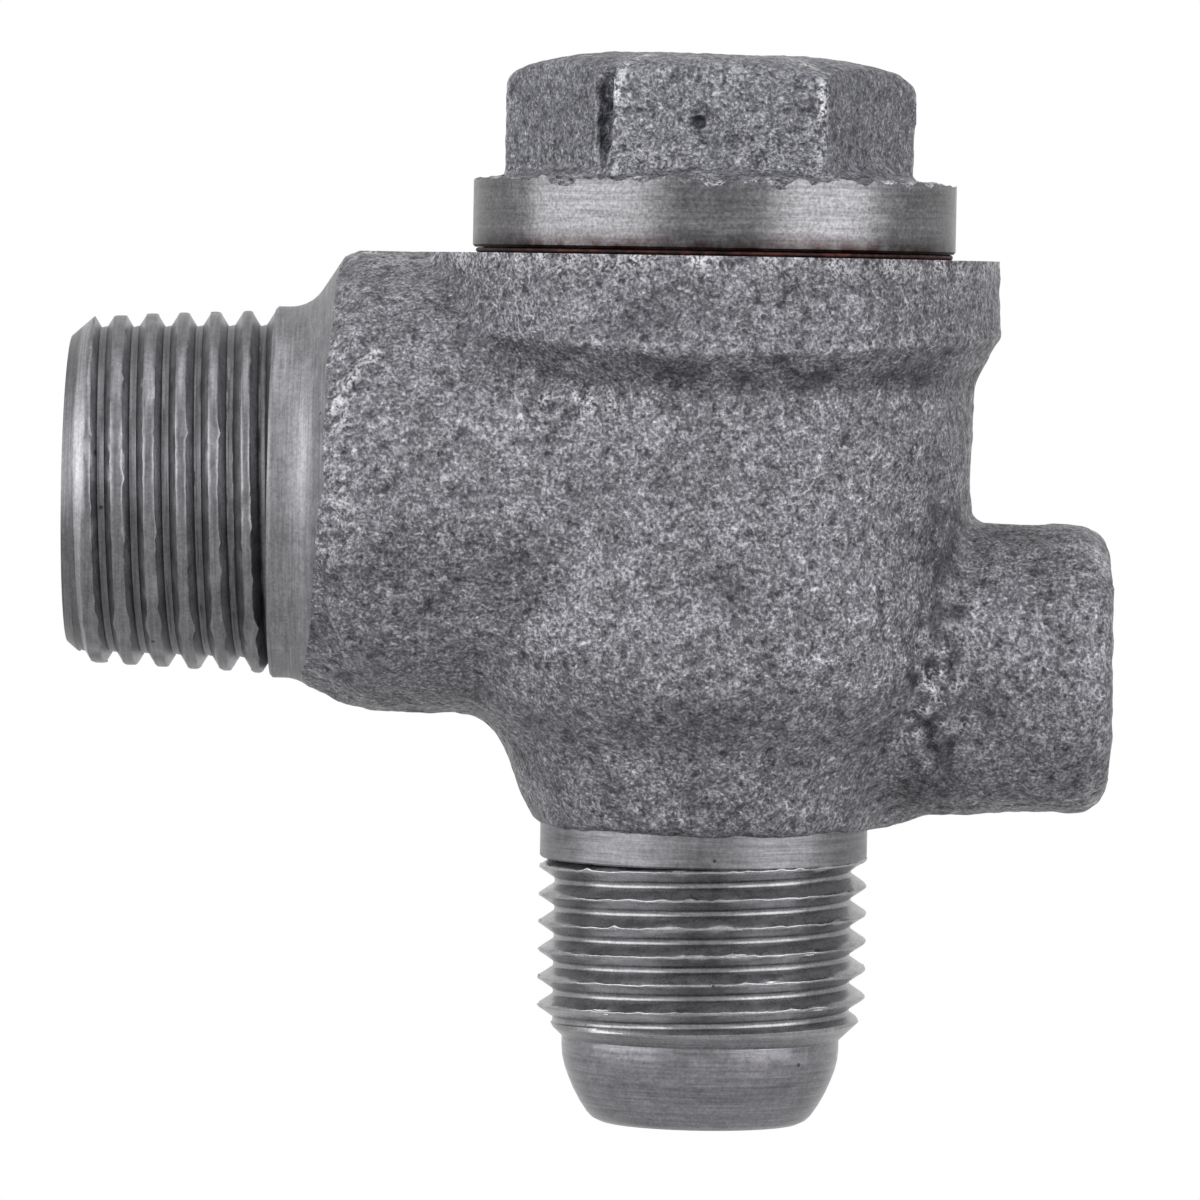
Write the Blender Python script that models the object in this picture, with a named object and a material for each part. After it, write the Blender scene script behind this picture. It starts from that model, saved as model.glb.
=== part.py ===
"""Compressor non-return valve: a cast body with a tank spigot, an inlet spigot and an unloader boss,
a hexagon cap screwed down on a copper gasket, and a sprung poppet on a seat inside.

The origin is the centre of the tank spigot's open end. +X runs into the valve and +Z up to the cap.
All lengths are in metres and all angles in degrees.
"""

import math

import bmesh
import bpy
from mathutils import Matrix

# Places of the main axes and faces
UPRIGHT_AXIS_X = 0.0365
SEAT_FACE_Z = 0.01385
BOSS_AXIS_Z = -0.00935
BOSS_END_X = 0.0594

# Casting
FLANGE_RADIUS = 0.01635
FLANGE_HEIGHT = 0.0047
FLANGE_SLOPE_HEIGHT = 0.0034
BARREL_RADIUS = 0.0149
SHOULDER_Z = -0.0080
SHOULDER_RADIUS = 0.0065
SHOULDER_TURN = 42.0
NECK_RADIUS = 0.0099
NECK_FLARE_RADIUS = 0.0116
NECK_FLARE_Z = -0.0140
NECK_END_Z = -0.0188
TANK_BARREL_RADIUS = 0.0131
TANK_BARREL_RISE = 0.0005
TANK_BARREL_START_X = 0.0138
TANK_BARREL_CHAMFER = 0.0023
TANK_BARREL_CHAMFER_DEPTH = 0.0019
BOSS_RADIUS = 0.0083
BOSS_EDGE_ROUND = 0.0016
CAST_VOXEL = 0.0005
CAST_BLEND_PASSES = 14
CAST_FACE_SHARE = 0.05

# Tank spigot: a tapered pipe thread of 14 turns to the inch
TANK_PITCH = 0.0254 / 14
TANK_FLANK = 27.5
TANK_RIDGE_X = 0.0
TANK_END_RADIUS = 0.00875
TANK_LEAD_LENGTH = 0.0013
TANK_CREST_RADIUS = 0.00986
TANK_CREST_TAPER = 0.045
TANK_ROOT_RADIUS = 0.00922
TANK_ROOT_TAPER = 0.026
TANK_ROOT_FLAT = 0.00042
TANK_COLLAR_X = 0.0116
TANK_COLLAR_RADIUS = 0.0106
TANK_COLLAR_LENGTH = 0.0013
TANK_FILLET_RADIUS = 0.0014
TANK_FILLET_TURN = 50.0
TANK_BORE_RADIUS = 0.0060

# Inlet spigot: a parallel thread of 16 turns to the inch over a coned nose
INLET_PITCH = 0.0254 / 16
INLET_FLANK = 30.0
INLET_RIDGE_Z = -0.0235
INLET_CREST_RADIUS = 0.00925
INLET_ROOT_RADIUS = 0.0085
INLET_ROOT_FLAT = 0.00047
INLET_COLLAR_RADIUS = 0.00935
INLET_COLLAR_END_Z = -0.02055
INLET_THREAD_END_Z = -0.0307
INLET_LEAD_LENGTH = 0.0014
NOSE_RADIUS = 0.00795
NOSE_CONE_Z = -0.0326
NOSE_END_RADIUS = 0.00595
NOSE_END_Z = -0.0356
NOSE_EDGE_ROUND = 0.0005
INLET_BORE_RADIUS = 0.0044
NOSE_BORE_CHAMFER = 0.0002

# Chamber and seat
CHAMBER_RADIUS = 0.0099
CHAMBER_FLOOR_Z = -0.0064
SEAT_LIP_Z = -0.0052
SEAT_LIP_RADIUS = 0.0068
SEAT_LIP_ROUND = 0.0003
THROAT_RADIUS = 0.0055
THROAT_END_Z = -0.0125

# Unloader port in the boss
PORT_RADIUS = 0.0043
PORT_DEPTH = 0.0095
PORT_CHAMFER = 0.0006
PORT_PASSAGE_RADIUS = 0.0015
PORT_FACE_RADIUS = 0.0066
PORT_FACE_DEPTH = 0.0003
DRILL_TIP_ANGLE = 59.0

# Cap thread, metric 22 x 1.5
CAP_PITCH = 0.0015
CAP_FLANK = 30.0
CAP_CREST_RADIUS = 0.0110
CAP_ROOT_RADIUS = 0.01008
BODY_CREST_RADIUS = 0.010188
CAP_ROOT_FLAT = 0.00025
THREAD_CLEARANCE = 0.0001
CAP_RELIEF_RADIUS = 0.0099
CAP_RELIEF_LENGTH = 0.0016
CAP_LEAD_LENGTH = 0.0008
BODY_THREAD_PAST_CAP = 0.0007
BODY_MOUTH_RADIUS = 0.0115

# Gasket and cap
FACE_GAP = 0.00002
GASKET_THICKNESS = 0.0003
GASKET_INNER_RADIUS = 0.0112
GASKET_OUTER_RADIUS = 0.0135
COLLAR_RADIUS = 0.01377
COLLAR_HEIGHT = 0.0036
COLLAR_EDGE = 0.00015
HEX_ACROSS_FLATS = 0.0205
HEX_CORNER_ROUND = 0.0009
HEX_TURN = 32.0
HEX_LEAN = 0.6
HEX_SHIFT_X = -0.0004
CAP_HEIGHT = 0.01105
CAP_CROWN_DROP = 0.0022
CAP_CROWN_FLAT_RADIUS = 0.0040
HEX_FILLET_HEIGHT = 0.0023

# Poppet, its seal and its spring
VALVE_LIFT = 0.0050
STOP_GAP = 0.0001
SEAL_GAP = 0.00003
SEAL_RADIUS = 0.0077
SEAL_THICKNESS = 0.0020
SEAL_SIDE_CLEARANCE = 0.0001
HEAD_RADIUS = 0.0086
HEAD_WEB = 0.0034
HEAD_RIM_DEPTH = 0.0011
HEAD_EDGE = 0.0004
SPRING_SPIGOT_HEIGHT = 0.0008
SPRING_SIDE_CLEARANCE = 0.0002
STEM_RADIUS = 0.0029
STEM_LENGTH = 0.0151
STEM_CHAMFER = 0.0005
GUIDE_CLEARANCE = 0.00015
GUIDE_END_SPACE = 0.0010
SPRING_WIRE_RADIUS = 0.0005
SPRING_MEAN_RADIUS = 0.0050
SPRING_TURNS = 6.5
SPRING_CLOSED_TURNS = 0.75
SPRING_CLOSED_GAP = 0.00008
POCKET_DEPTH = 0.0075
POCKET_CLEARANCE = 0.0007
WASHER_RADIUS = 0.0045
WASHER_THICKNESS = 0.0008
SCREW_RADIUS = 0.00145
SCREW_HOLE_CLEARANCE = 0.0001
SCREW_LENGTH = 0.0062
SCREW_TIP_SPACE = 0.0006
SCREW_TIP_CHAMFER = 0.0004
SCREW_HEAD_RADIUS = 0.0028
SCREW_HEAD_HEIGHT = 0.0018
SCREW_HEAD_CHAMFER = 0.0006
SCREW_SLOT_WIDTH = 0.0008
SCREW_SLOT_DEPTH = 0.0008

# Fineness of the round shapes
ROUND_STEPS = 28
SMALL_ROUND_STEPS = 24
SHARP_ANGLE = 35.0
CAST_STEPS = 64
ARC_STEPS = 6
SPRING_POINTS_PER_TURN = 18
CUT_MARGIN = 0.0010
FACING_CUT_HEIGHT = 0.0050
WELD = 1e-7
WELD_AFTER_CUT = 1e-5

# Heights and depths that follow from the sizes above
BOSS_FACE_X = BOSS_END_X - PORT_FACE_DEPTH
GASKET_BASE_Z = SEAT_FACE_Z + FACE_GAP
COLLAR_BASE_Z = GASKET_BASE_Z + GASKET_THICKNESS + FACE_GAP
COLLAR_TOP_Z = COLLAR_BASE_Z + COLLAR_HEIGHT
SEAL_BASE_Z = SEAT_LIP_Z + SEAL_GAP
HEAD_BASE_Z = SEAL_BASE_Z + SEAL_THICKNESS + SEAL_GAP
HEAD_TOP_Z = HEAD_BASE_Z + HEAD_WEB
CAP_END_Z = HEAD_TOP_Z + VALVE_LIFT + STOP_GAP
POCKET_FLOOR_Z = CAP_END_Z + POCKET_DEPTH
STEM_TOP_Z = HEAD_TOP_Z + STEM_LENGTH
GUIDE_TOP_Z = STEM_TOP_Z + VALVE_LIFT + GUIDE_END_SPACE
WASHER_TOP_Z = SEAL_BASE_Z - SEAL_GAP
SCREW_HEAD_TOP_Z = WASHER_TOP_Z - WASHER_THICKNESS - SEAL_GAP
SCREW_HOLE_RADIUS = SCREW_RADIUS + SCREW_HOLE_CLEARANCE
CAP_THREAD_TOP_Z = COLLAR_BASE_Z - CAP_RELIEF_LENGTH


def upright(height=0.0):
    """Place for a piece turned about the valve's upright axis."""
    return Matrix.Translation((UPRIGHT_AXIS_X, 0.0, height))


def lying(height=0.0):
    """Place for a piece turned about a level axis: its own Z becomes the world's +X."""
    return Matrix.Translation((0.0, 0.0, height)) @ Matrix.Rotation(math.radians(90), 4, "Y")


def arc(centre_radius, centre_height, radius, first, last, steps=ARC_STEPS):
    """Outline points round a centre, from the first to the last angle."""
    points = []
    for step in range(steps + 1):
        angle = math.radians(first + (last - first) * step / steps)
        points.append((centre_radius + radius * math.cos(angle), centre_height + radius * math.sin(angle)))
    return points


def make_material(name, colour, roughness, metallic):
    material = bpy.data.materials.new(name)
    material.use_nodes = True
    shader = material.node_tree.nodes["Principled BSDF"]
    shader.inputs["Base Color"].default_value = (*colour, 1.0)
    shader.inputs["Roughness"].default_value = roughness
    shader.inputs["Metallic"].default_value = metallic
    return material


def new_object(name, mesh, place):
    """Turns a bmesh into an object of the scene, with its faces pointing out."""
    bmesh.ops.recalc_face_normals(mesh, faces=mesh.faces)
    data = bpy.data.meshes.new(name)
    mesh.to_mesh(data)
    mesh.free()
    made = bpy.data.objects.new(name, data)
    made.matrix_world = place
    bpy.context.scene.collection.objects.link(made)
    return made


def turned(name, outline, place, steps=ROUND_STEPS, ring=False):
    """A solid of revolution about its own Z. The outline lists (radius, height) from end to end."""
    mesh = bmesh.new()
    points = [mesh.verts.new((radius, 0.0, height)) for radius, height in outline]
    pairs = list(zip(points, points[1:]))
    if ring:
        pairs.append((points[-1], points[0]))
    edges = [mesh.edges.new(pair) for pair in pairs]
    bmesh.ops.spin(
        mesh,
        geom=points + edges,
        cent=(0.0, 0.0, 0.0),
        axis=(0.0, 0.0, 1.0),
        angle=math.tau,
        steps=steps,
        use_merge=True,
    )
    bmesh.ops.remove_doubles(mesh, verts=mesh.verts, dist=WELD)
    return new_object(name, mesh, place)


def block(name, low, high):
    """A box between two opposite corners."""
    mesh = bmesh.new()
    bmesh.ops.create_cube(mesh, size=1.0)
    size = [b - a for a, b in zip(low, high)]
    middle = [(a + b) / 2 for a, b in zip(low, high)]
    bmesh.ops.transform(mesh, matrix=Matrix.Diagonal((*size, 1.0)), verts=mesh.verts)
    return new_object(name, mesh, Matrix.Translation(middle))


def combine(target, tool, operation):
    """Adds a Boolean of the tool to the target, and keeps the tool out of the model."""
    modifier = target.modifiers.new(f"{operation} {tool.name}", "BOOLEAN")
    modifier.operation = operation
    modifier.solver = "EXACT"
    modifier.object = tool
    tool.hide_render = True
    tool.display_type = "WIRE"


def weld(target):
    """Closes the hair-thin edges that a Boolean leaves."""
    modifier = target.modifiers.new("Weld", "WELD")
    modifier.merge_threshold = WELD_AFTER_CUT


def smooth_round_faces(target):
    target.data.shade_smooth()
    target.data.set_sharp_from_angle(angle=math.radians(SHARP_ANGLE))


def helix_rod(name, place, pitch, flank, crest, root, root_flat, ridge, low, high, crest_taper, root_taper):
    """A closed rod with a right-hand thread that reaches past the low and high ends.

    The ridge height is where the middle of one ridge crosses the half plane of the local X axis. Both
    radii are those at height nought, and grow with their tapers.
    """
    mesh = bmesh.new()
    start = ridge + pitch * math.floor((low - ridge) / pitch - 2)
    steps = ROUND_STEPS * math.ceil((high - start) / pitch + 2)
    rings = []
    for step in range(steps + 1):
        turn = (step + 0.5) / ROUND_STEPS
        angle = math.tau * turn
        height = start + pitch * turn
        crest_here = crest + crest_taper * height
        root_here = root + root_taper * height
        foot = (pitch - root_flat) / 2
        shoulder = foot - (crest_here - root_here) * math.tan(math.radians(flank))
        section = (
            (crest_here, -shoulder),
            (crest_here, shoulder),
            (root_here, foot),
            (root_here, pitch - foot),
        )
        ring = []
        for radius, offset in section:
            ring.append(mesh.verts.new((radius * math.cos(angle), radius * math.sin(angle), height + offset)))
        rings.append(ring)
    for ring, following in zip(rings, rings[1:]):
        for corner in range(3):
            mesh.faces.new((ring[corner], ring[corner + 1], following[corner + 1], following[corner]))
    for step in range(steps - ROUND_STEPS):
        above = rings[step + ROUND_STEPS][0]
        above_next = rings[step + ROUND_STEPS + 1][0]
        mesh.faces.new((rings[step][3], above, above_next, rings[step + 1][3]))

    bottom = mesh.verts.new((0.0, 0.0, start))
    top = mesh.verts.new((0.0, 0.0, start + pitch * steps / ROUND_STEPS))
    bottom_rim = [ring[0] for ring in rings[: ROUND_STEPS + 1]] + list(reversed(rings[0][1:]))
    top_rim = rings[-1] + [ring[3] for ring in reversed(rings[steps - ROUND_STEPS : steps])]
    for rim, tip in ((bottom_rim, bottom), (top_rim, top)):
        for index, corner in enumerate(rim):
            mesh.faces.new((rim[index - 1], corner, tip))
    return new_object(name, mesh, place)


def threaded_rod(
    name,
    place,
    pitch,
    flank,
    crest,
    root,
    root_flat,
    ridge,
    low,
    high,
    lead_radius,
    lead_length,
    crest_taper=0.0,
    root_taper=0.0,
):
    """A threaded rod with flat ends and a coned lead at its low end."""
    sizes = (pitch, flank, crest, root, root_flat, ridge)
    rod = helix_rod(name, place, *sizes, low, high, crest_taper, root_taper)
    slope = (crest + crest_taper * low - lead_radius) / lead_length
    reach = crest + crest_taper * high + CUT_MARGIN
    ends = [
        (0.0, low),
        (lead_radius, low),
        (reach, low + (reach - lead_radius) / slope),
        (reach, high),
        (0.0, high),
    ]
    combine(rod, turned(f"{name}_ends", ends, place), "INTERSECT")
    return rod


def cast_blank():
    """The rough casting: flange, barrel and neck, with the tank barrel and the boss run into one skin."""
    top = SEAT_FACE_Z + CUT_MARGIN
    slope_top = SEAT_FACE_Z - FLANGE_HEIGHT
    shoulder_centre = BARREL_RADIUS - SHOULDER_RADIUS
    shoulder = arc(shoulder_centre, SHOULDER_Z, SHOULDER_RADIUS, 0, -SHOULDER_TURN)
    outline = [
        (0.0, top),
        (FLANGE_RADIUS, top),
        (FLANGE_RADIUS, slope_top),
        (BARREL_RADIUS, slope_top - FLANGE_SLOPE_HEIGHT),
        *shoulder,
        (NECK_FLARE_RADIUS, NECK_FLARE_Z),
        (NECK_RADIUS, NECK_END_Z),
        (0.0, NECK_END_Z),
    ]
    blank = turned("valve_body", outline, upright(), CAST_STEPS)

    tank_barrel_outline = [
        (0.0, TANK_BARREL_START_X),
        (TANK_BARREL_RADIUS - TANK_BARREL_CHAMFER_DEPTH, TANK_BARREL_START_X),
        (TANK_BARREL_RADIUS, TANK_BARREL_START_X + TANK_BARREL_CHAMFER),
        (TANK_BARREL_RADIUS, UPRIGHT_AXIS_X),
        (0.0, UPRIGHT_AXIS_X),
    ]
    tank_barrel = turned("tank_barrel_form", tank_barrel_outline, lying(TANK_BARREL_RISE), CAST_STEPS)
    combine(blank, tank_barrel, "UNION")

    edge = BOSS_RADIUS - BOSS_EDGE_ROUND
    boss_outline = [
        (0.0, UPRIGHT_AXIS_X),
        (BOSS_RADIUS, UPRIGHT_AXIS_X),
        *reversed(arc(edge, BOSS_END_X - BOSS_EDGE_ROUND, BOSS_EDGE_ROUND, 90, 0)),
        (0.0, BOSS_END_X),
    ]
    combine(blank, turned("boss_form", boss_outline, lying(BOSS_AXIS_Z), CAST_STEPS), "UNION")

    skin = blank.modifiers.new("One cast skin", "REMESH")
    skin.mode = "VOXEL"
    skin.voxel_size = CAST_VOXEL
    blend = blank.modifiers.new("Cast fillets", "SMOOTH")
    blend.factor = 0.5
    blend.iterations = CAST_BLEND_PASSES
    fewer = blank.modifiers.new("Fewer faces", "DECIMATE")
    fewer.ratio = CAST_FACE_SHARE
    return blank


def turn_tank_spigot(body):
    """The tank spigot: bar stock on the casting, turned to a collar and a fillet, and its threaded end."""
    fillet_start = TANK_COLLAR_X + TANK_COLLAR_LENGTH
    stub_radius = TANK_ROOT_RADIUS - CUT_MARGIN / 2
    stub_x = TANK_LEAD_LENGTH
    stock_radius = TANK_COLLAR_RADIUS + CUT_MARGIN / 2
    stock_end = fillet_start + TANK_FILLET_RADIUS
    stock = [(0.0, stub_x), (stock_radius, stub_x), (stock_radius, stock_end), (0.0, stock_end)]
    combine(body, turned("tank_spigot_stock", stock, lying()), "UNION")

    fillet = arc(
        TANK_COLLAR_RADIUS + TANK_FILLET_RADIUS,
        fillet_start,
        TANK_FILLET_RADIUS,
        180,
        180 - TANK_FILLET_TURN,
    )
    slope = math.tan(math.radians(TANK_FILLET_TURN))
    outside = TANK_BARREL_RADIUS + TANK_BARREL_RISE + CUT_MARGIN
    run_out = fillet[-1][1] + (outside - fillet[-1][0]) / slope
    lathe_path = [
        (outside, stub_x - CUT_MARGIN),
        (stub_radius, stub_x - CUT_MARGIN),
        (stub_radius, TANK_COLLAR_X),
        (TANK_COLLAR_RADIUS, TANK_COLLAR_X),
        *fillet,
        (outside, run_out),
    ]
    combine(body, turned("tank_lathe_cut", lathe_path, lying(), ring=True), "DIFFERENCE")
    weld(body)
    thread = threaded_rod(
        "tank_thread",
        lying(),
        TANK_PITCH,
        TANK_FLANK,
        TANK_CREST_RADIUS,
        TANK_ROOT_RADIUS,
        TANK_ROOT_FLAT,
        TANK_RIDGE_X,
        0.0,
        TANK_COLLAR_X + TANK_COLLAR_LENGTH / 2,
        TANK_END_RADIUS,
        TANK_LEAD_LENGTH,
        crest_taper=TANK_CREST_TAPER,
        root_taper=TANK_ROOT_TAPER,
    )
    combine(body, thread, "UNION")


def turn_inlet_spigot(body):
    """The inlet spigot: a plain collar, a parallel thread and a coned nose."""
    outline = [
        (0.0, NECK_END_Z + CUT_MARGIN),
        (INLET_COLLAR_RADIUS, NECK_END_Z + CUT_MARGIN),
        (INLET_COLLAR_RADIUS, INLET_COLLAR_END_Z),
        (NOSE_RADIUS, INLET_COLLAR_END_Z),
        (NOSE_RADIUS, NOSE_CONE_Z),
        (NOSE_END_RADIUS + NOSE_EDGE_ROUND, NOSE_END_Z + NOSE_EDGE_ROUND),
        (NOSE_END_RADIUS, NOSE_END_Z),
        (0.0, NOSE_END_Z),
    ]
    combine(body, turned("inlet_spigot", outline, upright()), "UNION")
    thread = threaded_rod(
        "inlet_thread",
        upright(),
        INLET_PITCH,
        INLET_FLANK,
        INLET_CREST_RADIUS,
        INLET_ROOT_RADIUS,
        INLET_ROOT_FLAT,
        INLET_RIDGE_Z,
        INLET_THREAD_END_Z,
        (INLET_COLLAR_END_Z + NECK_END_Z) / 2,
        NOSE_RADIUS - CUT_MARGIN / 4,
        INLET_LEAD_LENGTH,
    )
    combine(body, thread, "UNION")


def face_seat(body):
    """Machines the flat face that the gasket lies on."""
    reach = FLANGE_RADIUS + TANK_BARREL_RADIUS
    low = (UPRIGHT_AXIS_X - reach, -reach, SEAT_FACE_Z)
    high = (UPRIGHT_AXIS_X + reach, reach, SEAT_FACE_Z + FACING_CUT_HEIGHT)
    combine(body, block("seat_facing_cut", low, high), "DIFFERENCE")


def chamber_void():
    """The bore from the top: the mouth, the cap's thread, the chamber, the raised seat and the throat."""
    mouth_chamfer = BODY_MOUTH_RADIUS - CHAMBER_RADIUS
    above = SEAT_FACE_Z + CUT_MARGIN
    outline = [
        (0.0, above),
        (BODY_MOUTH_RADIUS, above),
        (BODY_MOUTH_RADIUS, SEAT_FACE_Z),
        (CHAMBER_RADIUS, SEAT_FACE_Z - mouth_chamfer),
        (CHAMBER_RADIUS, CHAMBER_FLOOR_Z),
        (SEAT_LIP_RADIUS, CHAMBER_FLOOR_Z),
        (SEAT_LIP_RADIUS, SEAT_LIP_Z - SEAT_LIP_ROUND),
        (SEAT_LIP_RADIUS - SEAT_LIP_ROUND, SEAT_LIP_Z),
        (THROAT_RADIUS + SEAT_LIP_ROUND, SEAT_LIP_Z),
        (THROAT_RADIUS, SEAT_LIP_Z - SEAT_LIP_ROUND),
        (THROAT_RADIUS, THROAT_END_Z),
        (INLET_BORE_RADIUS, THROAT_END_Z - (THROAT_RADIUS - INLET_BORE_RADIUS)),
        (INLET_BORE_RADIUS, NOSE_END_Z + NOSE_BORE_CHAMFER),
        (INLET_BORE_RADIUS + NOSE_BORE_CHAMFER, NOSE_END_Z),
        (INLET_BORE_RADIUS + NOSE_BORE_CHAMFER, NOSE_END_Z - CUT_MARGIN),
        (0.0, NOSE_END_Z - CUT_MARGIN),
    ]
    void = turned("chamber_void", outline, upright())
    tap = threaded_rod(
        "body_thread_void",
        upright(),
        CAP_PITCH,
        CAP_FLANK,
        CAP_CREST_RADIUS + THREAD_CLEARANCE,
        BODY_CREST_RADIUS,
        CAP_PITCH / 4 - 2 * THREAD_CLEARANCE,
        CAP_END_Z,
        CAP_END_Z - BODY_THREAD_PAST_CAP,
        SEAT_FACE_Z + CUT_MARGIN / 2,
        CHAMBER_RADIUS - CUT_MARGIN / 4,
        CAP_LEAD_LENGTH,
    )
    combine(void, tap, "UNION")
    return void


def add_level_bores(void):
    """The tank bore from the left, and the tapped unloader port with its narrow passage from the right."""
    short_of_lip = UPRIGHT_AXIS_X - SEAT_LIP_RADIUS - CUT_MARGIN / 4
    bore = [
        (0.0, -CUT_MARGIN),
        (TANK_BORE_RADIUS, -CUT_MARGIN),
        (TANK_BORE_RADIUS, short_of_lip),
        (0.0, short_of_lip),
    ]
    combine(void, turned("tank_bore_void", bore, lying()), "UNION")

    bottom = BOSS_FACE_X - PORT_DEPTH
    tip = (PORT_RADIUS - PORT_PASSAGE_RADIUS) / math.tan(math.radians(DRILL_TIP_ANGLE))
    port = [
        (0.0, UPRIGHT_AXIS_X),
        (PORT_PASSAGE_RADIUS, UPRIGHT_AXIS_X),
        (PORT_PASSAGE_RADIUS, bottom - tip),
        (PORT_RADIUS, bottom),
        (PORT_RADIUS, BOSS_FACE_X - PORT_CHAMFER),
        (PORT_RADIUS + PORT_CHAMFER, BOSS_FACE_X),
        (PORT_FACE_RADIUS, BOSS_FACE_X),
        (PORT_FACE_RADIUS, BOSS_END_X + CUT_MARGIN),
        (0.0, BOSS_END_X + CUT_MARGIN),
    ]
    combine(void, turned("unloader_port_void", port, lying(BOSS_AXIS_Z)), "UNION")


def make_valve_body():
    body = cast_blank()
    turn_tank_spigot(body)
    turn_inlet_spigot(body)
    face_seat(body)
    void = chamber_void()
    add_level_bores(void)
    combine(body, void, "DIFFERENCE")
    weld(body)
    body.data.materials.append(make_material("cast_iron", (0.20, 0.20, 0.215), 0.62, 0.75))
    return body


def make_hex_cap():
    """The cap: a cast hexagon with a domed crown, on a turned collar with a threaded plug below."""
    centre = UPRIGHT_AXIS_X + HEX_SHIFT_X
    mesh = bmesh.new()
    bmesh.ops.create_cone(
        mesh,
        cap_ends=True,
        segments=6,
        radius1=HEX_ACROSS_FLATS / math.sqrt(3),
        radius2=HEX_ACROSS_FLATS / math.sqrt(3),
        depth=2 * CAP_HEIGHT,
    )
    corners = [edge for edge in mesh.edges if abs(edge.verts[0].co.z - edge.verts[1].co.z) > CAP_HEIGHT]
    bmesh.ops.bevel(mesh, geom=corners, offset=HEX_CORNER_ROUND, segments=2, profile=0.5, affect="EDGES")
    lean = Matrix.Rotation(math.radians(HEX_LEAN), 4, "Y")
    turn = Matrix.Rotation(math.radians(HEX_TURN), 4, "Z")
    place = Matrix.Translation((centre, 0.0, COLLAR_BASE_Z)) @ lean
    cap = new_object("hex_cap", mesh, place @ turn)

    corner_radius = HEX_ACROSS_FLATS / math.sqrt(3)
    crown_start = CAP_HEIGHT - CAP_CROWN_DROP
    crown = []
    for step in range(ARC_STEPS + 1):
        angle = math.radians(90 * step / ARC_STEPS)
        reach = CAP_CROWN_FLAT_RADIUS + (corner_radius - CAP_CROWN_FLAT_RADIUS) * math.sin(angle)
        crown.append((reach, crown_start + CAP_CROWN_DROP * math.cos(angle)))
    skirt = COLLAR_HEIGHT / 2
    envelope = [(0.0, CAP_HEIGHT), *crown, (corner_radius + CUT_MARGIN, skirt), (0.0, skirt)]
    combine(cap, turned("crown_form", envelope, place), "INTERSECT")

    fillet_radius = COLLAR_RADIUS - HEX_ACROSS_FLATS / 2
    fillet = []
    for step in range(ARC_STEPS + 1):
        angle = math.radians(90 * step / ARC_STEPS)
        reach = COLLAR_RADIUS - fillet_radius * math.sin(angle)
        fillet.append((reach, COLLAR_TOP_Z + HEX_FILLET_HEIGHT * (1 - math.cos(angle))))
    outline = [
        (0.0, COLLAR_TOP_Z + HEX_FILLET_HEIGHT),
        *reversed(fillet),
        (COLLAR_RADIUS, COLLAR_BASE_Z + COLLAR_EDGE),
        (COLLAR_RADIUS - COLLAR_EDGE, COLLAR_BASE_Z),
        (CAP_RELIEF_RADIUS, COLLAR_BASE_Z),
        (CAP_RELIEF_RADIUS, CAP_END_Z + CAP_LEAD_LENGTH),
        (0.0, CAP_END_Z + CAP_LEAD_LENGTH),
    ]
    combine(cap, turned("collar_and_plug", outline, upright()), "UNION")

    thread = threaded_rod(
        "cap_thread",
        upright(),
        CAP_PITCH,
        CAP_FLANK,
        CAP_CREST_RADIUS,
        CAP_ROOT_RADIUS,
        CAP_ROOT_FLAT,
        CAP_END_Z,
        CAP_END_Z,
        CAP_THREAD_TOP_Z,
        CAP_RELIEF_RADIUS,
        CAP_LEAD_LENGTH,
    )
    combine(cap, thread, "UNION")

    pocket_radius = SPRING_MEAN_RADIUS + SPRING_WIRE_RADIUS + POCKET_CLEARANCE
    guide_radius = STEM_RADIUS + GUIDE_CLEARANCE
    pocket = [
        (0.0, CAP_END_Z - CUT_MARGIN),
        (pocket_radius, CAP_END_Z - CUT_MARGIN),
        (pocket_radius, POCKET_FLOOR_Z),
        (guide_radius, POCKET_FLOOR_Z),
        (guide_radius, GUIDE_TOP_Z),
        (0.0, GUIDE_TOP_Z),
    ]
    combine(cap, turned("pocket_cut", pocket, upright(), steps=SMALL_ROUND_STEPS), "DIFFERENCE")
    cap.data.materials.append(make_material("cap_iron", (0.20, 0.20, 0.22), 0.55, 0.8))
    return cap


def make_cap_gasket():
    outline = [
        (GASKET_INNER_RADIUS, GASKET_BASE_Z),
        (GASKET_OUTER_RADIUS, GASKET_BASE_Z),
        (GASKET_OUTER_RADIUS, GASKET_BASE_Z + GASKET_THICKNESS),
        (GASKET_INNER_RADIUS, GASKET_BASE_Z + GASKET_THICKNESS),
    ]
    gasket = turned("cap_gasket", outline, upright(), ring=True)
    gasket.data.materials.append(make_material("copper", (0.36, 0.12, 0.07), 0.5, 1.0))
    return gasket


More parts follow.
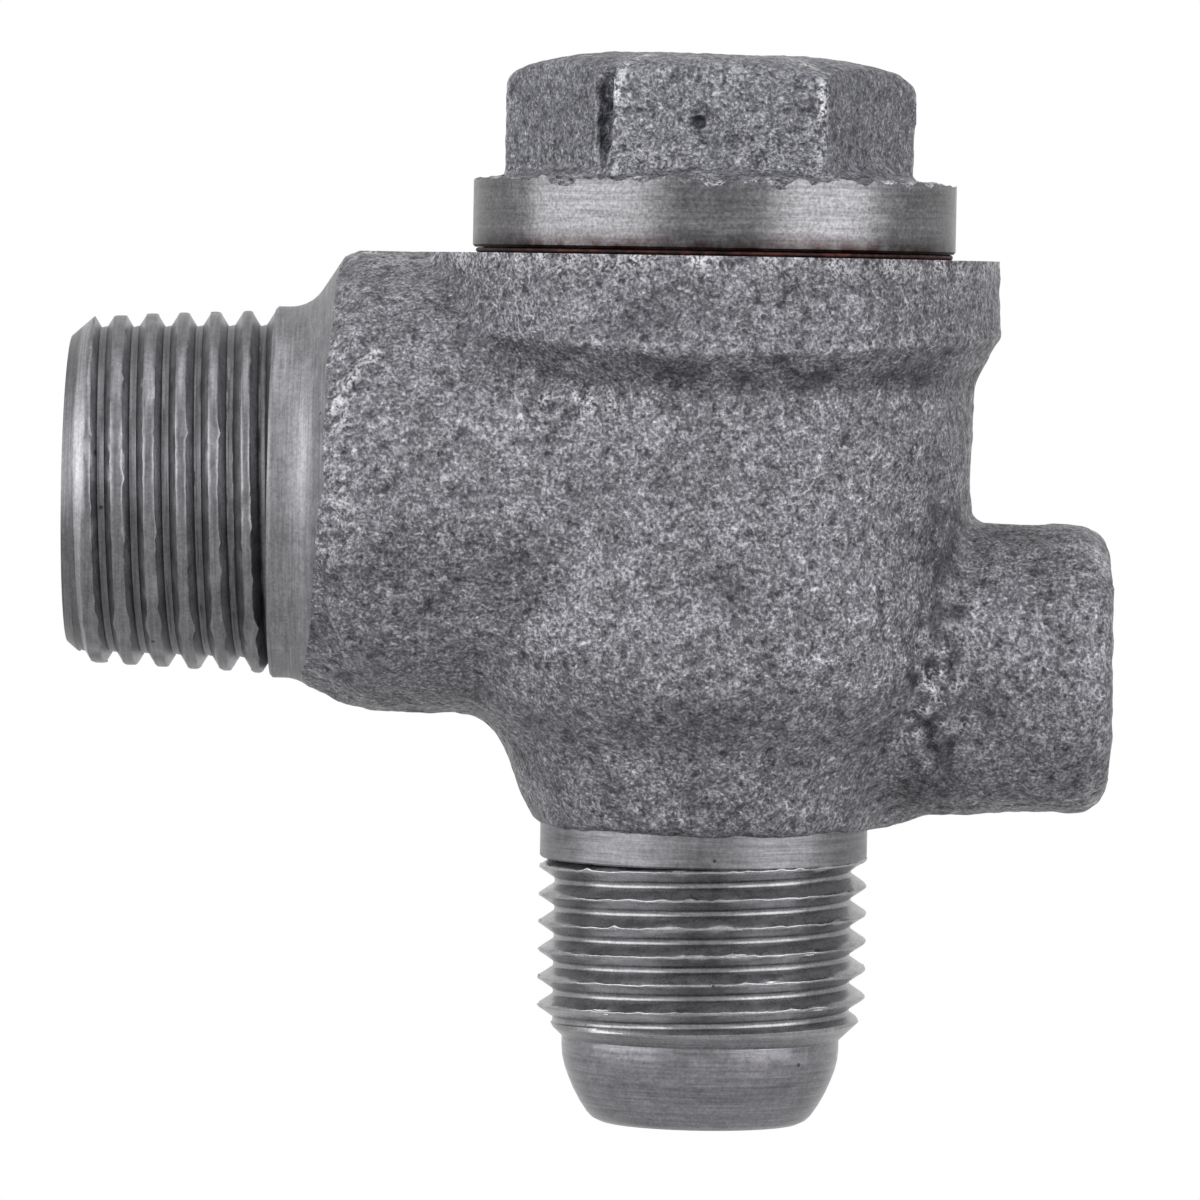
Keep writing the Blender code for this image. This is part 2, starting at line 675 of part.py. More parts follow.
def make_valve_poppet():
    """The valve disc: a cup for the seal below, a spigot for the spring above, and the guide stem."""
    recess_radius = SEAL_RADIUS + SEAL_SIDE_CLEARANCE
    spigot_radius = SPRING_MEAN_RADIUS - SPRING_WIRE_RADIUS - SPRING_SIDE_CLEARANCE
    hole_top = SCREW_HEAD_TOP_Z + SCREW_LENGTH + SCREW_TIP_SPACE
    rim_z = HEAD_BASE_Z - HEAD_RIM_DEPTH
    outline = [
        (0.0, hole_top),
        (SCREW_HOLE_RADIUS, hole_top),
        (SCREW_HOLE_RADIUS, HEAD_BASE_Z),
        (recess_radius, HEAD_BASE_Z),
        (recess_radius, rim_z),
        (HEAD_RADIUS, rim_z),
        (HEAD_RADIUS, HEAD_TOP_Z - HEAD_EDGE),
        (HEAD_RADIUS - HEAD_EDGE, HEAD_TOP_Z),
        (spigot_radius, HEAD_TOP_Z),
        (spigot_radius, HEAD_TOP_Z + SPRING_SPIGOT_HEIGHT),
        (STEM_RADIUS, HEAD_TOP_Z + SPRING_SPIGOT_HEIGHT),
        (STEM_RADIUS, STEM_TOP_Z - STEM_CHAMFER),
        (STEM_RADIUS - STEM_CHAMFER, STEM_TOP_Z),
        (0.0, STEM_TOP_Z),
    ]
    poppet = turned("valve_poppet", outline, upright(), steps=SMALL_ROUND_STEPS)
    poppet.data.materials.append(make_material("brass", (0.55, 0.38, 0.14), 0.35, 1.0))
    return poppet


def make_washer_like(name, outer, base, thickness):
    """A flat ring round the seal screw."""
    outline = [
        (SCREW_HOLE_RADIUS, base),
        (outer, base),
        (outer, base + thickness),
        (SCREW_HOLE_RADIUS, base + thickness),
    ]
    return turned(name, outline, upright(), steps=SMALL_ROUND_STEPS, ring=True)


def make_seat_seal():
    seal = make_washer_like("seat_seal", SEAL_RADIUS, SEAL_BASE_Z, SEAL_THICKNESS)
    seal.data.materials.append(make_material("black_rubber", (0.02, 0.02, 0.02), 0.8, 0.0))
    return seal


def make_seal_washer():
    base = WASHER_TOP_Z - WASHER_THICKNESS
    washer = make_washer_like("seal_washer", WASHER_RADIUS, base, WASHER_THICKNESS)
    washer.data.materials.append(make_material("washer_steel", (0.45, 0.45, 0.46), 0.35, 1.0))
    return washer


def make_seal_screw():
    """The slotted screw that holds the seal and its washer up against the poppet."""
    tip = SCREW_HEAD_TOP_Z + SCREW_LENGTH
    bottom = SCREW_HEAD_TOP_Z - SCREW_HEAD_HEIGHT
    outline = [
        (0.0, tip),
        (SCREW_RADIUS - SCREW_TIP_CHAMFER, tip),
        (SCREW_RADIUS, tip - SCREW_TIP_CHAMFER),
        (SCREW_RADIUS, SCREW_HEAD_TOP_Z),
        (SCREW_HEAD_RADIUS, SCREW_HEAD_TOP_Z),
        (SCREW_HEAD_RADIUS, bottom + SCREW_HEAD_CHAMFER),
        (SCREW_HEAD_RADIUS - SCREW_HEAD_CHAMFER, bottom),
        (0.0, bottom),
    ]
    screw = turned("seal_screw", outline, upright(), steps=SMALL_ROUND_STEPS)
    half = SCREW_SLOT_WIDTH / 2
    slot = block(
        "screw_slot_cut",
        (UPRIGHT_AXIS_X - half, -SCREW_HEAD_RADIUS - CUT_MARGIN, bottom - CUT_MARGIN),
        (UPRIGHT_AXIS_X + half, SCREW_HEAD_RADIUS + CUT_MARGIN, bottom + SCREW_SLOT_DEPTH),
    )
    combine(screw, slot, "DIFFERENCE")
    screw.data.materials.append(make_material("screw_steel", (0.40, 0.40, 0.42), 0.4, 1.0))
    return screw


def make_return_spring():
    """The coil spring, with its end turns closed up, between the poppet's head and the cap's pocket."""
    low = HEAD_TOP_Z + SPRING_WIRE_RADIUS + SEAL_GAP
    high = POCKET_FLOOR_Z - SPRING_WIRE_RADIUS - SEAL_GAP
    closed_rise = (2 * SPRING_WIRE_RADIUS + SPRING_CLOSED_GAP) * SPRING_CLOSED_TURNS
    open_turns = SPRING_TURNS - 2 * SPRING_CLOSED_TURNS
    open_rise = high - low - 2 * closed_rise
    curve = bpy.data.curves.new("return_spring", "CURVE")
    curve.dimensions = "3D"
    curve.bevel_depth = SPRING_WIRE_RADIUS
    curve.bevel_resolution = 2
    curve.use_fill_caps = True
    steps = round(SPRING_TURNS * SPRING_POINTS_PER_TURN)
    spline = curve.splines.new("POLY")
    spline.points.add(steps)
    for step, point in enumerate(spline.points):
        turn = SPRING_TURNS * step / steps
        if turn < SPRING_CLOSED_TURNS:
            height = low + closed_rise * turn / SPRING_CLOSED_TURNS
        elif turn > SPRING_TURNS - SPRING_CLOSED_TURNS:
            height = high - closed_rise * (SPRING_TURNS - turn) / SPRING_CLOSED_TURNS
        else:
            height = low + closed_rise + open_rise * (turn - SPRING_CLOSED_TURNS) / open_turns
        angle = math.tau * turn
        x = SPRING_MEAN_RADIUS * math.cos(angle)
        y = SPRING_MEAN_RADIUS * math.sin(angle)
        point.co = (x, y, height, 1.0)
    spring = bpy.data.objects.new("return_spring", curve)
    spring.matrix_world = upright()
    bpy.context.scene.collection.objects.link(spring)
    curve.materials.append(make_material("spring_steel", (0.50, 0.50, 0.52), 0.3, 1.0))
    return spring


def main():
    for old in list(bpy.data.objects):
        bpy.data.objects.remove(old)
    fixed = [make_valve_body(), make_hex_cap(), make_cap_gasket()]
    moving = [make_valve_poppet(), make_seat_seal(), make_seal_washer(), make_seal_screw()]
    make_return_spring()
    for piece in fixed + moving:
        smooth_round_faces(piece)
    slide = bpy.data.objects.new("poppet_lift_axis", None)
    slide.matrix_world = upright(SEAT_LIP_Z)
    bpy.context.scene.collection.objects.link(slide)
    for piece in moving:
        place = piece.matrix_world.copy()
        piece.parent = slide
        piece.matrix_parent_inverse = slide.matrix_world.inverted()
        piece.matrix_world = place


main()
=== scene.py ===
"""Dressed model of a compressor's non-return valve, standing in a plain pale studio.

Meshes are shaped in millimetres about the valve's own axes, and are scaled to metres when they are finished.
"""

import math

import bmesh
import bpy
from mathutils import Matrix, Vector, noise


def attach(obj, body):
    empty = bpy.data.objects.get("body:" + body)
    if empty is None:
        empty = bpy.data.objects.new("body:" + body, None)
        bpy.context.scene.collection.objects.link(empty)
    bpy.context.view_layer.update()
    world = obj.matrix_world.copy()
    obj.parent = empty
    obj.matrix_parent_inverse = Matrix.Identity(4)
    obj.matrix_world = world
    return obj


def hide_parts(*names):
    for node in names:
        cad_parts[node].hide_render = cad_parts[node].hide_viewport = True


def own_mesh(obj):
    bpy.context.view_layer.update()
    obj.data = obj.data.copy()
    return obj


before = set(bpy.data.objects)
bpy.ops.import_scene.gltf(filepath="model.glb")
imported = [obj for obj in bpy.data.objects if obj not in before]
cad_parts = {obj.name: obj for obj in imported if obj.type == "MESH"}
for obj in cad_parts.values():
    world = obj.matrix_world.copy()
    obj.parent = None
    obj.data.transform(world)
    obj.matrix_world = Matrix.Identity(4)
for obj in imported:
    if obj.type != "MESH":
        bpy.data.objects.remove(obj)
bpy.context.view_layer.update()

# Camera: a long lens, a touch above the valve's middle and a degree out of level.
aim = Vector((0.03034, 0.0, -0.005857))
camera_distance = 0.48
camera_elevation = 2.2
camera_roll = 1.0


def rotation(degrees, axis):
    return Matrix.Rotation(math.radians(degrees), 4, axis)


def facing_aim(turn, distance):
    """The place of a camera or a lamp that looks at the aim, from a distance in metres."""
    return Matrix.Translation(aim + turn.to_3x3() @ Vector((0.0, 0.0, distance))) @ turn


camera_data = bpy.data.cameras.new("camera")
camera_data.lens = 252.0
camera_data.sensor_width = 36.0
camera = bpy.data.objects.new("camera", camera_data)
camera_turn = rotation(90.0 - camera_elevation, "X") @ rotation(camera_roll, "Z")
camera.matrix_world = facing_aim(camera_turn, camera_distance)
bpy.context.scene.collection.objects.link(camera)
bpy.context.scene.camera = camera
bpy.context.scene.view_settings.view_transform = "Standard"


# Studio: a soft box on each side of the camera, a weaker one overhead, and white all round.
def add_node(tree, kind, inputs=None, **settings):
    """Adds a shader node. The inputs pair a socket's name or number with a value or another node's output."""
    made = tree.nodes.new(kind)
    for name, value in settings.items():
        setattr(made, name, value)
    for socket, value in (inputs or {}).items():
        if isinstance(value, bpy.types.NodeSocket):
            tree.links.new(value, made.inputs[socket])
        else:
            made.inputs[socket].default_value = value
    return made


def seen_ray(tree):
    """One where a camera, glossy or transmitted ray looks, and nought for the rays that light things."""
    path = add_node(tree, "ShaderNodeLightPath")
    either = add_node(
        tree,
        "ShaderNodeMath",
        {0: path.outputs["Is Camera Ray"], 1: path.outputs["Is Glossy Ray"]},
        operation="MAXIMUM",
    )
    most = add_node(
        tree,
        "ShaderNodeMath",
        {0: either.outputs[0], 1: path.outputs["Is Transmission Ray"]},
        operation="MAXIMUM",
    )
    return most.outputs[0]


world = bpy.data.worlds.new("studio")
world.use_nodes = True
bpy.context.scene.world = world
world_tree = world.node_tree
ambient_level = 0.42
ambient = add_node(
    world_tree,
    "ShaderNodeMapRange",
    {"Value": seen_ray(world_tree), "To Min": ambient_level, "To Max": 1.0},
)
world_tree.links.new(ambient.outputs[0], world_tree.nodes["Background"].inputs["Strength"])
world_tree.nodes["Background"].inputs["Color"].default_value = (1.0, 1.0, 1.0, 1.0)

lamp_distance = 0.6


def soft_box(name, azimuth, elevation, width, height, power):
    """A lamp that looks at the aim from an azimuth right of the camera and an elevation above it."""
    data = bpy.data.lights.new(name, "AREA")
    data.shape = "RECTANGLE"
    data.size = width
    data.size_y = height
    data.energy = power
    lamp = bpy.data.objects.new(name, data)
    lamp.matrix_world = facing_aim(rotation(azimuth, "Z") @ rotation(90 - elevation, "X"), lamp_distance)
    bpy.context.scene.collection.objects.link(lamp)


soft_box("left box", -63.0, 16.0, 0.80, 0.50, 3.9)
soft_box("right box", 54.0, 16.0, 0.60, 0.50, 3.0)
soft_box("top box", 0.0, 78.0, 0.50, 0.40, 1.2)

# The floor is pale paper. From 0.15 m out it turns white to the rays that look at it, and has no horizon.
floor_level = -0.12
floor_mesh = bmesh.new()
bmesh.ops.create_grid(floor_mesh, x_segments=1, y_segments=1, size=6.0)
bmesh.ops.translate(floor_mesh, verts=floor_mesh.verts, vec=(0.0, 0.0, floor_level))
floor_data = bpy.data.meshes.new("floor")
floor_mesh.to_mesh(floor_data)
floor_mesh.free()
floor = bpy.data.objects.new("floor", floor_data)
bpy.context.scene.collection.objects.link(floor)
paper = bpy.data.materials.new("pale paper")
paper.use_nodes = True
paper_tree = paper.node_tree
paper_shader = paper_tree.nodes["Principled BSDF"]
paper_shader.inputs["Base Color"].default_value = (0.80, 0.80, 0.80, 1.0)
paper_shader.inputs["Roughness"].default_value = 0.9
paper_place = add_node(paper_tree, "ShaderNodeTexCoord")
paper_reach = add_node(
    paper_tree, "ShaderNodeVectorMath", {0: paper_place.outputs["Object"]}, operation="LENGTH"
)
paper_far = add_node(
    paper_tree,
    "ShaderNodeMapRange",
    {"Value": paper_reach.outputs["Value"], "From Min": 0.15, "From Max": 0.5},
)
paper_white = add_node(
    paper_tree,
    "ShaderNodeMath",
    {0: seen_ray(paper_tree), 1: paper_far.outputs[0]},
    operation="MULTIPLY",
)
paper_glow = add_node(paper_tree, "ShaderNodeEmission", {"Color": (1.0, 1.0, 1.0, 1.0), "Strength": 1.0})
paper_mix = add_node(
    paper_tree,
    "ShaderNodeMixShader",
    {0: paper_white.outputs[0], 1: paper_shader.outputs[0], 2: paper_glow.outputs[0]},
)
paper_tree.links.new(paper_mix.outputs[0], paper_tree.nodes["Material Output"].inputs["Surface"])
floor_data.materials.append(paper)


# Cast body: grey iron poured in a sand mould, so its skin is grainy, lumpy and pitted, with a hanging lip
# under the flange, a ragged ridge where the mould parted, and chips. The seat face, the collar behind the
# tank thread, the boss's face and the bores are then turned in a lathe.
MM = 0.001
UPRIGHT_AXIS = 36.5
BOSS_AXIS = -9.35
SEAT_FACE = 13.85
BOSS_FACE = 59.1
BOSS_END = 59.4
INLET_NECK_END = -18.8

upright = Matrix.Translation((UPRIGHT_AXIS, 0.0, 0.0))

# How a material reaches the axis that its piece was turned on, from Object coordinates.
ON_UPRIGHT = {"location": (-UPRIGHT_AXIS, 0.0, 0.0)}
ON_TANK = {"turn": -90.0}
ON_BOSS = {"location": (BOSS_AXIS, 0.0, 0.0), "turn": -90.0}


def lying(height):
    """Turns a shape's own Z to the tank spigot's axis, at a height."""
    return Matrix.Translation((0.0, 0.0, height)) @ rotation(90, "Y")


def arc(centre, radius, first, last, steps=10):
    """Outline points round a centre, in degrees."""
    points = []
    for step in range(steps + 1):
        angle = math.radians(first + (last - first) * step / steps)
        points.append((centre[0] + radius * math.cos(angle), centre[1] + radius * math.sin(angle)))
    return points


def lathe(outline, steps, ring=False):
    """A bmesh turned about Z. The outline lists (radius, height) from end to end."""
    mesh = bmesh.new()
    points = [mesh.verts.new((radius, 0.0, height)) for radius, height in outline]
    edges = [mesh.edges.new(pair) for pair in zip(points, points[1:])]
    if ring:
        edges.append(mesh.edges.new((points[-1], points[0])))
    bmesh.ops.spin(
        mesh,
        geom=points + edges,
        cent=(0.0, 0.0, 0.0),
        axis=(0.0, 0.0, 1.0),
        angle=math.tau,
        steps=steps,
        use_merge=True,
    )
    bmesh.ops.remove_doubles(mesh, verts=mesh.verts, dist=1e-4)
    bmesh.ops.recalc_face_normals(mesh, faces=mesh.faces)
    return mesh


def rough_blank(name, mesh, place, material):
    """An object in millimetres, to be cut, joined or finished."""
    bmesh.ops.transform(mesh, matrix=place, verts=mesh.verts)
    data = bpy.data.meshes.new(name)
    mesh.to_mesh(data)
    mesh.free()
    data.materials.append(material)
    made = bpy.data.objects.new(name, data)
    bpy.context.scene.collection.objects.link(made)
    return made


def turned_blank(name, outline, steps, place, material, ring=False):
    return rough_blank(name, lathe(outline, steps, ring), place, material)


def settle(target):
    """Applies a blank's modifiers to its mesh."""
    depsgraph = bpy.context.evaluated_depsgraph_get()
    data = bpy.data.meshes.new_from_object(target.evaluated_get(depsgraph))
    target.modifiers.clear()
    target.data = data


def cut(target, tool, operation="DIFFERENCE"):
    """Cuts a blank with a tool, or joins them. The new faces keep the tool's material."""
    modifier = target.modifiers.new("cut", "BOOLEAN")
    modifier.operation = operation
    modifier.solver = "EXACT"
    modifier.material_mode = "TRANSFER"
    modifier.object = tool
    settle(target)
    bpy.data.objects.remove(tool)


def one_skin(target, voxel, passes):
    """Runs the forms of a casting into one skin with soft inner corners."""
    remesh = target.modifiers.new("skin", "REMESH")
    remesh.mode = "VOXEL"
    remesh.voxel_size = voxel
    soften = target.modifiers.new("soften", "SMOOTH")
    soften.factor = 0.5
    soften.iterations = passes
    settle(target)


def soften_part(target, chosen, passes):
    """Rounds only a part of a skin further. The choice is made by a point's place."""
    mesh = bmesh.new()
    mesh.from_mesh(target.data)
    verts = [vert for vert in mesh.verts if chosen(vert.co)]
    for _ in range(passes):
        bmesh.ops.smooth_vert(
            mesh, verts=verts, factor=0.5, use_axis_x=True, use_axis_y=True, use_axis_z=True
        )
    mesh.to_mesh(target.data)
    mesh.free()


def sand_texture(target, seed, layers, extra=None):
    """Pushes a skin in and out along its normals. The layers are (size of a lump, height)."""
    mesh = bmesh.new()
    mesh.from_mesh(target.data)
    mesh.normal_update()
    shift = Vector((seed * 17.3, seed * 5.1, seed * 9.7))
    for vert in mesh.verts:
        push = sum(height * noise.noise(vert.co / size + shift) for size, height in layers)
        if extra:
            push += extra(vert.co)
        vert.co += vert.normal * push
    mesh.to_mesh(target.data)
    mesh.free()


def weather_and_shade_skin(target, zones):
    """Stores on each point how far it stands out of its neighbours, for painted shade and highlight. It also
    stores how much the place is lightened for wear and painted glints, and how much it is darkened for grime
    and painted shade.
    """
    full_relief = 0.06
    mesh = bmesh.new()
    mesh.from_mesh(target.data)
    mesh.normal_update()
    relief = mesh.verts.layers.float.new("relief")
    wear_and_glint = mesh.verts.layers.float.new("wear_and_glint")
    grime_and_shade = mesh.verts.layers.float.new("grime_and_shade")
    for vert in mesh.verts:
        around = [edge.other_vert(vert).co for edge in vert.link_edges]
        mean = sum(around, Vector()) / len(around)
        vert[relief] = max(0.0, min(1.0, 0.5 + (vert.co - mean).dot(vert.normal) / full_relief))
        vert[wear_and_glint], vert[grime_and_shade] = zones(vert.co)
    mesh.to_mesh(target.data)
    mesh.free()


def finish_piece(target, name, body, sharp=32.0):
    """Merges a blank's slivers, scales it to metres, smooths its shading and lets it ride on its body."""
    mesh = bmesh.new()
    mesh.from_mesh(target.data)
    bmesh.ops.remove_doubles(mesh, verts=mesh.verts, dist=2e-3)
    bmesh.ops.scale(mesh, vec=(MM, MM, MM), verts=mesh.verts)
    for face in mesh.faces:
        face.smooth = True
    for edge in mesh.edges:
        if len(edge.link_faces) == 2:
            first, second = edge.link_faces
            one_finish = first.material_index == second.material_index
            edge.smooth = one_finish and edge.calc_face_angle() < math.radians(sharp)
    mesh.to_mesh(target.data)
    mesh.free()
    target.name = name
    target.data.name = name
    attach(target, body)


def group_tree(name, inputs, outputs):
    """A shader node group with float inputs, apart from Vector, and float outputs."""
    tree = bpy.data.node_groups.new(name, "ShaderNodeTree")
    for socket in inputs:
        kind = "NodeSocketVector" if socket == "Vector" else "NodeSocketFloat"
        tree.interface.new_socket(socket, in_out="INPUT", socket_type=kind)
    for socket in outputs:
        tree.interface.new_socket(socket, in_out="OUTPUT", socket_type="NodeSocketFloat")
    return tree, tree.nodes.new("NodeGroupInput"), tree.nodes.new("NodeGroupOutput")


def math_node(tree, operation, first, second=0.0, clamp=False):
    made = add_node(tree, "ShaderNodeMath", {0: first, 1: second}, operation=operation)
    made.use_clamp = clamp
    return made.outputs[0]


def ranged(tree, value, low, high, new_low=0.0, new_high=1.0):
    """Takes a value from one range to another, and stops at the new range's ends."""
    made = add_node(
        tree,
        "ShaderNodeMapRange",
        {"Value": value, "From Min": low, "From Max": high, "To Min": new_low, "To Max": new_high},
    )
    return made.outputs[0]


# The grain that sand leaves: speckle with fine bright threads and painted glints, larger clouds, pits, and
# the height of it all.
# The vector is in millimetres.
sand_grain, grain_in, grain_out = group_tree(
    "sand grain", ("Vector", "Grains", "Pits"), ("Speckle", "Clouds", "Pit", "Height")
)


def grain_noise(scale, detail, roughness):
    """Noise inside the sand grain group."""
    made = add_node(
        sand_grain,
        "ShaderNodeTexNoise",
        {"Vector": grain_in.outputs["Vector"], "Scale": scale, "Detail": detail, "Roughness": roughness},
    )
    return made.outputs[0]


grain_size = grain_in.outputs["Grains"]
grain_fine = grain_noise(grain_size, 3.0, 0.6)
grain_fold = grain_noise(math_node(sand_grain, "MULTIPLY", grain_size, 0.62), 2.5, 0.55)
grain_thread = math_node(sand_grain, "ABSOLUTE", math_node(sand_grain, "SUBTRACT", grain_fold, 0.5))
grain_bright = ranged(sand_grain, grain_thread, 0.0, 0.045, 1.0, 0.0)
grain_lumps = grain_noise(math_node(sand_grain, "MULTIPLY", grain_size, 0.30), 2.0, 0.5)
grain_dark = ranged(sand_grain, grain_lumps, 0.30, 0.40, 1.0, 0.0)
grain_specks = grain_noise(math_node(sand_grain, "MULTIPLY", grain_size, 0.55), 1.0, 0.5)
# Painted glints as bright flecks, and darker specks of the iron.
glints_and_specks = math_node(
    sand_grain,
    "SUBTRACT",
    ranged(sand_grain, grain_specks, 0.62, 0.72, 0.0, 0.20),
    ranged(sand_grain, grain_specks, 0.30, 0.38, 0.16, 0.0),
)
grain_pits = add_node(
    sand_grain,
    "ShaderNodeTexVoronoi",
    {"Vector": grain_in.outputs["Vector"], "Scale": grain_in.outputs["Pits"]},
)
pit_chance = add_node(sand_grain, "ShaderNodeSeparateColor", {0: grain_pits.outputs["Color"]})
pit_size = ranged(sand_grain, pit_chance.outputs[0], 0.45, 1.0, 0.0, 0.24)
pit_depth = math_node(sand_grain, "SUBTRACT", pit_size, grain_pits.outputs["Distance"])
pit_mask = ranged(sand_grain, pit_depth, 0.0, 0.10)
speckle = math_node(
    sand_grain,
    "SUBTRACT",
    math_node(
        sand_grain,
        "ADD",
        math_node(sand_grain, "ADD", grain_fine, math_node(sand_grain, "MULTIPLY", grain_bright, 0.10)),
        math_node(sand_grain, "MULTIPLY", math_node(sand_grain, "SUBTRACT", grain_lumps, 0.5), 0.34),
    ),
    math_node(sand_grain, "SUBTRACT", math_node(sand_grain, "MULTIPLY", grain_dark, 0.12), glints_and_specks),
)
sand_grain.links.new(speckle, grain_out.inputs["Speckle"])
sand_grain.links.new(grain_noise(0.35, 4.0, 0.6), grain_out.inputs["Clouds"])
sand_grain.links.new(pit_mask, grain_out.inputs["Pit"])
grain_swell = math_node(sand_grain, "MULTIPLY", grain_lumps, 0.9)
sand_grain.links.new(
    math_node(
        sand_grain,
        "SUBTRACT",
        math_node(sand_grain, "ADD", speckle, grain_swell),
        math_node(sand_grain, "MULTIPLY", pit_mask, 0.6),
    ),
    grain_out.inputs["Height"],
)

# The marks that a lathe leaves round its axis: fine rings, faint blotches and the odd pore.
turning, turn_in, turn_out = group_tree(
    "turning marks", ("Vector", "Rings"), ("Ring", "Blotch", "Pore", "Height")
)
turn_parts = add_node(turning, "ShaderNodeSeparateXYZ", {0: turn_in.outputs["Vector"]})
turn_flat = add_node(turning, "ShaderNodeCombineXYZ", {0: turn_parts.outputs[0], 1: turn_parts.outputs[1]})
turn_radius = add_node(turning, "ShaderNodeVectorMath", {0: turn_flat.outputs[0]}, operation="LENGTH")
turn_path = math_node(turning, "ADD", turn_radius.outputs["Value"], turn_parts.outputs[2])
turn_place = add_node(
    turning,
    "ShaderNodeCombineXYZ",
    {
        0: math_node(turning, "MULTIPLY", turn_parts.outputs[0], 0.22),
        1: math_node(turning, "MULTIPLY", turn_parts.outputs[1], 0.22),
        2: math_node(turning, "MULTIPLY", turn_path, turn_in.outputs["Rings"]),
    },
)
turn_rings = add_node(
    turning,
    "ShaderNodeTexNoise",
    {"Vector": turn_place.outputs[0], "Scale": 1.0, "Detail": 5.0, "Roughness": 0.72},
)
turn_blotch = add_node(
    turning,
    "ShaderNodeTexNoise",
    {"Vector": turn_in.outputs["Vector"], "Scale": 0.9, "Detail": 6.0, "Roughness": 0.7},
)
turn_pores = add_node(turning, "ShaderNodeTexVoronoi", {"Vector": turn_in.outputs["Vector"], "Scale": 0.55})
pore_chance = add_node(turning, "ShaderNodeSeparateColor", {0: turn_pores.outputs["Color"]})
pore_size = ranged(turning, pore_chance.outputs[1], 0.55, 1.0, 0.0, 0.10)
pore_depth = math_node(turning, "SUBTRACT", pore_size, turn_pores.outputs["Distance"])
pore_mask = ranged(turning, pore_depth, 0.0, 0.03)
turning.links.new(turn_rings.outputs[0], turn_out.inputs["Ring"])
turning.links.new(turn_blotch.outputs[0], turn_out.inputs["Blotch"])
turning.links.new(pore_mask, turn_out.inputs["Pore"])
turning.links.new(
    math_node(turning, "SUBTRACT", turn_rings.outputs[0], math_node(turning, "MULTIPLY", pore_mask, 0.8)),
    turn_out.inputs["Height"],
)


def mix_colour(tree, factor, first, second, blend="MIX"):
    made = add_node(
        tree, "ShaderNodeMix", {0: factor, 6: first, 7: second}, data_type="RGBA", blend_type=blend
    )
    return made.outputs[2]


def object_place(tree, location=(0.0, 0.0, 0.0), turn=0.0):
    """Object coordinates in millimetres, moved and turned so that a piece's own axis is Z."""
    place = add_node(tree, "ShaderNodeTexCoord")
    mapping = add_node(
        tree,
        "ShaderNodeMapping",
        {
            "Vector": place.outputs["Object"],
            "Location": location,
            "Rotation": (0.0, math.radians(turn), 0.0),
            "Scale": (1000.0, 1000.0, 1000.0),
        },
    )
    return mapping.outputs[0]


def new_metal(name, metallic):
    metal = bpy.data.materials.new(name)
    metal.use_nodes = True
    shader = metal.node_tree.nodes["Principled BSDF"]
    shader.inputs["Metallic"].default_value = metallic
    return metal, metal.node_tree, shader


def bump(tree, shader, height, distance, strength):
    """Raises a surface by a height of one at the distance in millimetres."""
    made = add_node(
        tree, "ShaderNodeBump", {"Strength": strength, "Distance": distance * MM, "Height": height}
    )
    tree.links.new(made.outputs[0], shader.inputs["Normal"])


def cast_material(name, dark, middle, light, grains, roughness):
    """Grey cast iron grain with a few pits. It has painted shade in hollows and painted highlight on raised
    points, is lighter for wear and painted glints, and is darker for grime and painted shade.
    """
    metal, tree, shader = new_metal(name, 0.85)
    grain = add_node(tree, "ShaderNodeGroup", node_tree=sand_grain)
    tree.links.new(object_place(tree), grain.inputs["Vector"])
    grain.inputs["Grains"].default_value = grains
    grain.inputs["Pits"].default_value = 0.8
    relief, wear_and_glint, grime_and_shade = (
        add_node(tree, "ShaderNodeAttribute", attribute_name=layer).outputs["Fac"]
        for layer in ("relief", "wear_and_glint", "grime_and_shade")
    )
    # The relief paints shade into the skin's hollows and a highlight onto its raised points.
    tone = math_node(
        tree,
        "ADD",
        grain.outputs["Speckle"],
        math_node(tree, "MULTIPLY", math_node(tree, "SUBTRACT", relief, 0.5), 0.16),
    )
    ramp = add_node(tree, "ShaderNodeValToRGB", {0: tone})
    ramp.color_ramp.elements[0].position = 0.22
    ramp.color_ramp.elements[0].color = (*dark, 1.0)
    ramp.color_ramp.elements[1].position = 0.86
    ramp.color_ramp.elements[1].color = (*light, 1.0)
    between = ramp.color_ramp.elements.new(0.50)
    between.color = (*middle, 1.0)
    clouds = ranged(tree, grain.outputs["Clouds"], 0.35, 0.65, 0.80, 1.16)
    shaded = mix_colour(tree, 1.0, ramp.outputs[0], clouds, "MULTIPLY")
    # Lightened for wear and painted glints.
    lightening = math_node(tree, "MULTIPLY", wear_and_glint, ranged(tree, grain.outputs["Speckle"], 0.42, 0.60))
    lightened = mix_colour(tree, lightening, shaded, (0.50, 0.50, 0.52, 1.0))
    # Darkened in pits, and for grime and painted shade.
    pits = math_node(tree, "MULTIPLY", grain.outputs["Pit"], 0.6)
    darkening = math_node(tree, "MAXIMUM", pits, grime_and_shade, clamp=True)
    darkened = mix_colour(tree, darkening, lightened, (0.024, 0.025, 0.031, 1.0))
    tree.links.new(darkened, shader.inputs["Base Color"])
    tree.links.new(
        ranged(tree, grain.outputs["Speckle"], 0.3, 0.7, roughness + 0.12, roughness - 0.10),
        shader.inputs["Roughness"],
    )
    bump(tree, shader, grain.outputs["Height"], 0.13, 0.85)
    return metal


